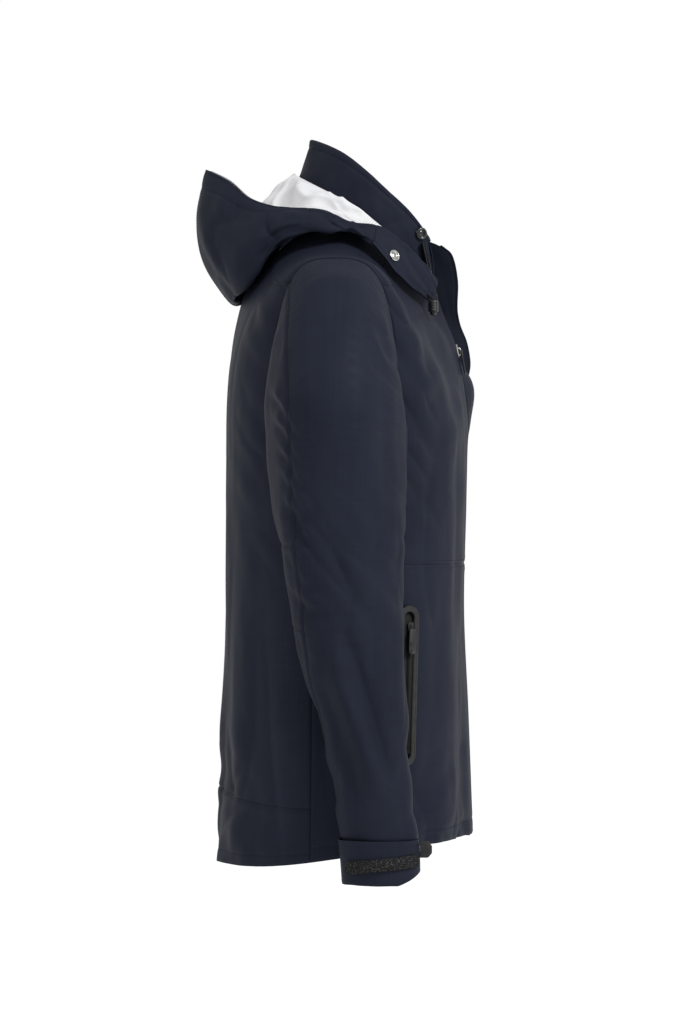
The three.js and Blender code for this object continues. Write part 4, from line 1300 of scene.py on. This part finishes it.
def build_cuff(word, side, body):
    centre = (side * 251, -84, 0)
    folds = lambda points, a, b: noise(points, (30, 30, 60),
                                       91) * 0.8 + noise(points, (12, 12, 20), 92) * 0.25

    def band(a, b):
        turn = np.clip((b - 1) / 0.15, 0, 1) * math.pi
        lift = np.where(b <= 1, b, np.where(b <= 1.15, 1.0, 1 - (b - 1.15)))
        depth = np.where(b <= 1, 0, -2.2 * (1 - np.cos(turn)) / 2)
        points = cuff_point(side, a, lift, depth)
        points[..., 2] -= 0.8 * np.sin(turn)
        return points
    patch = Patch(band, (0, 360), (0, 2.0), 1.8, centre, folds,
                  [seam("b", 0.06, (3.2,), depth=0.7), seam("b", 0.93, (0,), depth=0.3)], ring=True)
    piece = patch.build(f"{word}_cuff_cloth", NAVY, 0.9)
    wear(piece, body, "navy_shell", f"{word}_cuff_band")
    wear(stitches(f"{word}_cuff_thread", patch.rows(), NAVY_THREAD), body, "navy_shell")

    middle_z = -664.5
    middle_y = float(sleeve_y(middle_z))

    def strip(a, b):
        degrees = 20 + 125 * a
        end = 0.058
        near = np.clip((end - np.minimum(a, 1 - a)) / end, 0, 1)
        height = 11.8 * np.sqrt(1 - near ** 2 * 0.97)
        points = cuff_point(side, degrees, 0.5 + 0 * a, 2.5 + 0 * a)
        points[..., 2] = middle_z + (b - 0.5) * height - 0.1 * (points[..., 1] - middle_y)
        return points
    pile = lambda points, a, b: noise(points, 1.3, 95) * 0.35 * smooth(0, 0.12, np.minimum(b, 1 - b))
    patch = Patch(strip, (0, 1), (0, 1), 0.8, centre, pile, [seam("b", 0.1, (0,), depth=0.3),
                                                            seam("b", 0.9, (0,), depth=0.3)])
    wear(patch.build(f"{word}_strip_cloth", STRIP, 2.4), body, "hook_loop", f"{word}_cuff_strip")
    wear(stitches(f"{word}_strip_thread", patch.rows(), NAVY_THREAD), body, "hook_loop")

    outline = [(-1, -8.2), (6.4, -8.2), (7.6, -7.6), (10.4, -4.4), (11, -3.2), (11, 3.2), (10.4, 4.4),
               (7.6, 7.6),
               (6.4, 8.2), (-1, 8.2)]
    tab = extrusion("tab", outline, 0, 1.5, BLACK)
    rim = extrusion("rim", [(x * 0.78 + 0.6, y * 0.72) for x, y in outline], 1.5, 2.0, BLACK)
    ribs = [extrusion(f"rib{k}", [(x, -4.6), (x + 0.7, -4.6), (x + 0.7, 4.6), (x, 4.6)], 2.0, 2.35, BLACK)
            for k, x in enumerate((1.5, 3.3, 5.1, 6.9))]
    piece = join([tab, rim, *ribs], f"{word}_tab_moulding")
    piece.data.transform(basis((0, -1, 0), (0, 0, -side), (side, 0, 0), (side * 252, -125, -651)))
    turn_outward(piece)
    round_edges(piece, 0.25)
    wear(piece, f"{word}_cuff_tab", "black_plastic", f"{word}_cuff_tab")


# ---------------------------------------------------------------- main zip, storm flap

ZIP_TOP = np.array([0, -153, -140.0])
ZIP_TURN = np.array([0, -165.5, -216.0])
ZIP_END = np.array([0, -168, -646.0])
zip_upper = path((-48, -125, -36), (-42, -130, -60), (-31, -136, -88), (-15, -145, -118), (0, -153, -140))


def zip_line(share):
    first = mix_points(ZIP_TOP, ZIP_TURN, np.clip(share * 4, 0, 1))
    second = mix_points(ZIP_TURN, ZIP_END, np.clip((share - 0.25) / 0.75, 0, 1))
    second[..., 1] = front_y(second[..., 2]) - 0.8
    return np.where((share <= 0.25)[..., None], first, second)


def zip_middle(along):
    return np.where((along <= 1)[..., None], zip_upper(np.clip(along, 0, 1)),
                    zip_line(np.clip(along - 1, 0, 1)))


def zip_away(along):
    ahead = unit(zip_upper(np.clip(along + 0.01, 0, 1)) - zip_upper(np.clip(along - 0.01, 0, 1)))
    ahead = np.where((along < 1)[..., None], ahead, np.array([0, 0, -1.0]))
    west = np.array([-1.0, 0, 0])
    return unit((west + ahead * ahead[..., :1]) * np.array([1, 0, 1]))


def zip_tape(side):
    def at(a, b):
        width = 12 + 5 * np.clip(b * 10 - 9.5, 0, 1)
        inner = 1.2 - np.clip(b * 20 - 20, 0, 1)
        points = zip_middle(b) + zip_away(b) * (inner + (width - inner) * a)[..., None]
        points[..., 1] += 4.4
        return points * np.array([-side, 1, 1])
    return at


def build_main_zip():
    for word, side in SIDES:
        rib = lambda points, a, b: 0.12 * np.cos(a * 40)
        patch = Patch(zip_tape(side), (0, 1), (0, 2), 1.6, (0, 400, -300.5), rib,
                      [seam("a", 0.72, (0,), depth=0.25)])
        piece = patch.build(f"{word}_zip_cloth", TAPE, 0.8)
        wear(piece, "root", "zip_tape", f"{word}_zip_tape")
        wear(stitches(f"{word}_zip_thread", patch.rows(), NAVY_THREAD), "root", "zip_tape")
        fine = np.linspace(0, 2, 4000)
        middles = zip_middle(fine)
        gone = np.concatenate([[0], np.cumsum(np.linalg.norm(np.diff(middles, axis=0), axis=1))])
        stations = np.arange(1.4 + (0 if side < 0 else 1.3), gone[-1] - 1, 2.6)
        along = np.interp(stations, gone, fine)
        centres, away = zip_middle(along), zip_away(along)
        down = unit(zip_middle(np.clip(along + 0.004, 0, 2)) - zip_middle(np.clip(along - 0.004, 0, 2)))
        out = unit(np.cross(away, down))
        out = np.where(out[..., 1:2] > 0, -out, out)
        verts, faces = [], []
        closed = np.clip(along * 20 - 20, 0, 1)
        for c, w, d, o, meshed in zip(centres, away, down, out, closed):
            base = len(verts)
            middle = c + np.array([0, 3.6, 0])
            tip = 0.75 - 1.35 * meshed
            for reach, half, thick in ((tip, 0.5, 0.75), (tip + 0.9, 0.62, 1.15), (3.0, 0.6, 1.0)):
                for dv, ov in ((-1, -1), (1, -1), (1, 1), (-1, 1)):
                    verts.append(middle + w * reach + d * half * dv + o * thick * ov)
            for ring in (0, 4):
                for k in range(4):
                    m = (k + 1) % 4
                    faces.append((base + ring + k, base + ring + m, base + ring + 4 + m,
                                  base + ring + 4 + k))
            faces += [(base + 3, base + 2, base + 1, base), (base + 8, base + 9, base + 10, base + 11)]
        piece = add_mesh(f"{word}_teeth", np.array(verts) * np.array([-side, 1, 1]), faces, BLACK, flat=True)
        wear(piece, "root", "black_plastic", f"{word}_zip_teeth")

    box = extrusion("box", [(-5.5, -4.5), (5.5, -4.5), (5.5, 3.2), (4.4, 4.5), (-4.4, 4.5), (-5.5, 3.2)], -2,
                    2,
                    BLACK_NICKEL)
    slot_rib = extrusion("slot", [(-0.5, -3.6), (0.5, -3.6), (0.5, 3.9), (-0.5, 3.9)], 2, 2.3, BLACK_NICKEL)
    piece = join([box, slot_rib], "zip_retainer")
    piece.data.transform(basis((1, 0, 0), (0, 0, 1), (0, -1, 0), (0, -166, -651)))
    round_edges(piece, 0.4)
    wear(piece, "root", "steel", "zip_box")

    down = unit(ZIP_TURN - ZIP_TOP)
    out = unit(np.array([0, down[2], -down[1]]))
    middle = ZIP_TOP + down * 8.5
    place = basis((1, 0, 0), -down, out, middle)
    crown = [(-5.2, 5.2), (-4.2, 6.8), (-2.2, 7), (0, 5.6), (2.2, 7), (4.2, 6.8), (5.2, 5.2), (5.0, 0.5),
             (3.6, -4.2), (3.6, -6.6), (2.9, -7), (-2.9, -7), (-3.6, -6.6), (-3.6, -4.2), (-5.0, 0.5)]
    plates = [extrusion("top", crown, -0.4, 1.2, STEEL), extrusion("under", crown, -8.4, -6.9, STEEL),
              extrusion("post", [(-0.45, 4.8), (0.45, 4.8), (0.45, 0.5), (-0.45, 0.5)], -7, 0, STEEL)]
    bridge = [(0, y, z) for y,
              z in ((-4.6, 1.0), (-4.4, 2.6), (-3.2, 3.5), (0.6, 3.5), (2.2, 3.2), (3.0, 1.0))]
    plates.append(tube("bridge", bridge, 0.85, STEEL, 10, 0.7, (1, 0, 0)))
    piece = join(plates, "slider_body")
    piece.data.transform(place)
    turn_outward(piece)
    round_edges(piece, 0.3)
    wear(piece, "main_slider", "steel", "main_slider")
    pull = puller("main_pull_tab", 7.0, 26, 2.0, 1.6)
    pull.data.transform(place @ Matrix.Translation((0, -0.001, 0.0044)))
    wear(pull, "main_puller", "black_plastic", "main_puller")

    edge = path((50, -137, -36), (49, -148, -45), (43, -154, -72), (28, -154, -108), (36, -164, -138),
                (40, -168.5, -162), (36, -162, -190), (26, -151, -225))
    root = path((54, -119, -28), (51, -128, -52), (43, -133, -78), (30, -140, -108), (22, -147, -138),
                (20, -150, -166), (18, -149, -194), (14, -147, -228))
    fold = lambda points, a, b: flat_noise(a * 30, b * 230, (30, 26), 101) * 1.4 * smooth(0.1, 0.5, a)
    surface = lambda a, b: mix_points(root(b), edge(b), a)
    patch = Patch(surface, (-0.25, 1), (0, 1), 1.6, (0, 400, -120.5), fold,
                  [seam("a", 0.86, (0,), depth=0.4)])
    wear(patch.build("storm_flap_cloth", DARK, 1.8), "root", "dark_facing", "storm_flap")
    wear(stitches("storm_flap_thread", patch.rows(), NAVY_THREAD), "root", "dark_facing")


def stadium(half_width, top, bottom, segments=14):
    """An outline with round ends, from its top end anticlockwise."""
    ends = []
    for centre, start in ((top - half_width, 0), (bottom + half_width, math.pi)):
        for k in range(segments + 1):
            angle = start + math.pi * k / segments
            ends.append((half_width * math.cos(angle), centre + half_width * math.sin(angle)))
    return np.array(ends)


def puller(name, width, length, thick, above):
    """A moulded pull tab hinged at the origin: thick rim, sunk face, a raised curl and three raised ribs."""
    half = width / 2
    rings = []
    for inset, height in ((0.5, -0.5), (0, -0.25), (0, 0.25), (0.45, 0.5), (1.0, 0.5), (1.35, 0.3)):
        rings.append(np.c_[stadium(half - inset, above - inset, above - length + inset),
                           np.full(30, height * thick)])
    verts = np.concatenate(rings)
    count = len(rings[0])
    faces = [tuple(range(count))[::-1], tuple(range(5 * count, 6 * count))]
    for r in range(5):
        for k in range(count):
            m = (k + 1) % count
            faces.append((r * count + k, r * count + m, (r + 1) * count + m, (r + 1) * count + k))
    plate = add_mesh("plate", verts, faces, BLACK)
    turn_outward(plate)
    turns = np.linspace(0, 1.5 * math.pi, 20)
    curl = np.c_[1.5 * np.cos(turns) * half / 4, above - length * 0.62 + 2.3 * np.sin(turns) * half / 4,
                 np.full(20, 0.33 * thick)]
    mark = tube("curl", curl, 0.32, BLACK, 6)
    ribs = [tube("rib", [(-half * 0.45, y, 0.33 * thick), (half * 0.45, y, 0.33 * thick)], 0.28, BLACK, 6)
            for y in (above - length * 0.83, above - length * 0.88, above - length * 0.93)]
    return join([plate, mark, *ribs], name)


# ---------------------------------------------------------------- pockets, cord locks, snaps

POCKET_LENGTH = 161
POCKET_HALF = 12


def joint(name):
    return next(j for j in frame["joints"] if j["name"] == name)


HINGE_OUT = 6.1     # from a pocket's cloth out to its puller's hinge
HINGE_DOWN = 24     # from the top of a pocket's opening down to that hinge


def pocket_place(word):
    """The pocket's own frame, from its joints: X across its opening, Y up along it, Z out of the cloth."""
    swing = joint(f"{word}_pocket_puller_swing")
    along = -unit(np.array(joint(f"{word}_pocket_zip")["axis"]))
    across = -unit(np.array(swing["axis"]))
    out = np.cross(across, along)
    return across, along, out, np.array(swing["pos_m"]) / MM - HINGE_OUT * out + HINGE_DOWN * along


def build_pockets():
    for word, side in SIDES:
        across, along, out, point = pocket_place(word)
        place = basis(across, along, out, point)
        profile = ((0.0, -4.5), (0.0, 0.9), (0.8, 1.5), (1.9, 1.5), (2.2, 1.25), (2.7, 1.25), (3.0, 1.5),
                   (5.2, 1.5),
                   (6.0, 1.0), (6.0, -1.5))
        rings = []
        for inset, height in profile:
            outline = stadium(POCKET_HALF - inset, -inset, -POCKET_LENGTH + inset, 20)
            rings.append(np.c_[outline, np.full(len(outline), height)])
        count = len(rings[0])
        verts = np.concatenate(rings)
        faces = []
        for r in range(len(rings)):
            for k in range(count):
                m = (k + 1) % count
                n = (r + 1) % len(rings)
                faces.append((r * count + k, r * count + m, n * count + m, n * count + k))
        piece = add_mesh(f"{word}_pocket_weld", verts, faces, WELD)
        turn_outward(piece)
        piece.data.transform(place)
        wear(piece, "root", "black_plastic", f"{word}_pocket_frame")

        parts = []
        top, bottom = -POCKET_HALF - 4, -POCKET_LENGTH + POCKET_HALF
        for way in (-1, 1):
            outline = [(way * 1.0, top), (way * 5.8, top), (way * 5.8, bottom), (way * 1.0, bottom)]
            parts.append(extrusion("tape", outline, -0.4, 0.2, TAPE))
        parts.append(extrusion("backing", stadium(POCKET_HALF - 3, -3, 3 - POCKET_LENGTH), -3.2, -2.4, TAPE))
        for k in range(int((top - bottom) / 1.5)):
            y = top - 0.6 - 1.5 * k
            bar = [(-1.6, y, 0.3), (-0.9, y - 0.2, 0.85), (0, y - 0.35, 1.0), (0.9, y - 0.2, 0.85),
                   (1.6, y, 0.3)]
            parts.append(tube("coil", bar, 0.42, TAPE, 5, 1, (0, 1, 0.01)))
        piece = join(parts, f"{word}_pocket_coil")
        piece.data.transform(place)
        turn_outward(piece)
        wear(piece, "root", "zip_tape", f"{word}_pocket_zip")

        crown = [(-3.4, 4), (-2.6, 5.4), (0, 4.6), (2.6, 5.4), (3.4, 4), (3.2, 0), (2.5, -5.4), (-2.5, -5.4),
                 (-3.2, 0)]
        body = extrusion("crown", crown, 2.1, 3.5, BLACK)
        bridge = [(0, y, z) for y,
                  z in ((-4.8, 3.4), (-4.4, 4.6), (-3, 5.3), (0.4, 5.3), (1.8, 4.8), (2.4, 3.4))]
        piece = join([body, tube("bridge", bridge, 0.7, BLACK, 8, 0.8, (1, 0, 0))], f"{word}_pocket_slide")
        piece.data.transform(place @ Matrix.Translation((0, -0.022, 0)))
        turn_outward(piece)
        round_edges(piece, 0.25)
        wear(piece, f"{word}_pocket_slider", "black_plastic", f"{word}_pocket_slider")
        pull = puller(f"{word}_pocket_pull_tab", 8.5, 26, 1.8, 1.2)
        pull.data.transform(place @ Matrix.Translation((0, -0.024, 0.0061)))
        wear(pull, f"{word}_pocket_puller", "black_plastic", f"{word}_pocket_puller")


def build_small_parts():
    for word, side in SIDES:
        profile = [(0, 0), (2.6, 0), (4.1, -0.3), (5.0, -1.4), (5.2, -3.0), (4.8, -3.6), (5.2, -4.2),
                   (5.2, -5.6),
                   (4.8, -6.2), (5.2, -6.8), (5.2, -8.2), (4.8, -8.8), (5.2, -9.4), (5.2, -11.4), (4.7, -12),
                   (3.9, -12), (3.9, -4), (0, -4)]
        barrel = lathe(f"{word}_lock_barrel", profile, BLACK, 40)
        barrel.data.transform(Matrix.Translation((side * 0.084, -0.132, -0.099)))
        wear(barrel, f"{word}_hood_flap", "black_plastic", f"{word}_cord_lock_barrel")
        profile = [(0, -8), (3.4, -8), (3.4, -13.6), (3.1, -14.6), (2.3, -15.3), (1.0, -15.5), (0, -15.5)]
        button = lathe(f"{word}_lock_button", profile, BLACK, 32)
        button.data.transform(Matrix.Translation((side * 0.084, -0.132, -0.099)))
        wear(button, f"{word}_cord_lock_button", "black_plastic", f"{word}_cord_lock_button")
        stub = [(side * x, y, z) for x, y,
                z in ((76, -124, -93), (80, -128, -95), (83, -131, -97), (84, -132, -101))]
        cord = tube(f"{word}_lock_cord", stub, 1.4, TAPE, 10, 1, (1, 0, 0))
        wear(cord, f"{word}_hood_flap", "zip_tape")
        a, b = side * 0.92, 0.84
        grid_a, grid_b = np.array([a, a + 0.01, a]), np.array([b, b, b + 0.01])
        p = collar_wall(grid_a, grid_b)
        normal = unit(np.cross(p[1] - p[0], p[2] - p[0]))
        add_snap(f"{word}_collar_stud", p[:1], normal[None], "root", f"{word}_collar_snap", side,
                 BLACK_NICKEL)


add_camera()
add_room()
build_body()
build_body_lining()
build_collar()
build_hood()
build_sleeves()
build_main_zip()
build_pockets()
build_small_parts()
wear(stitches("body_thread", THREAD_LINES, NAVY_THREAD), "root", "navy_shell")
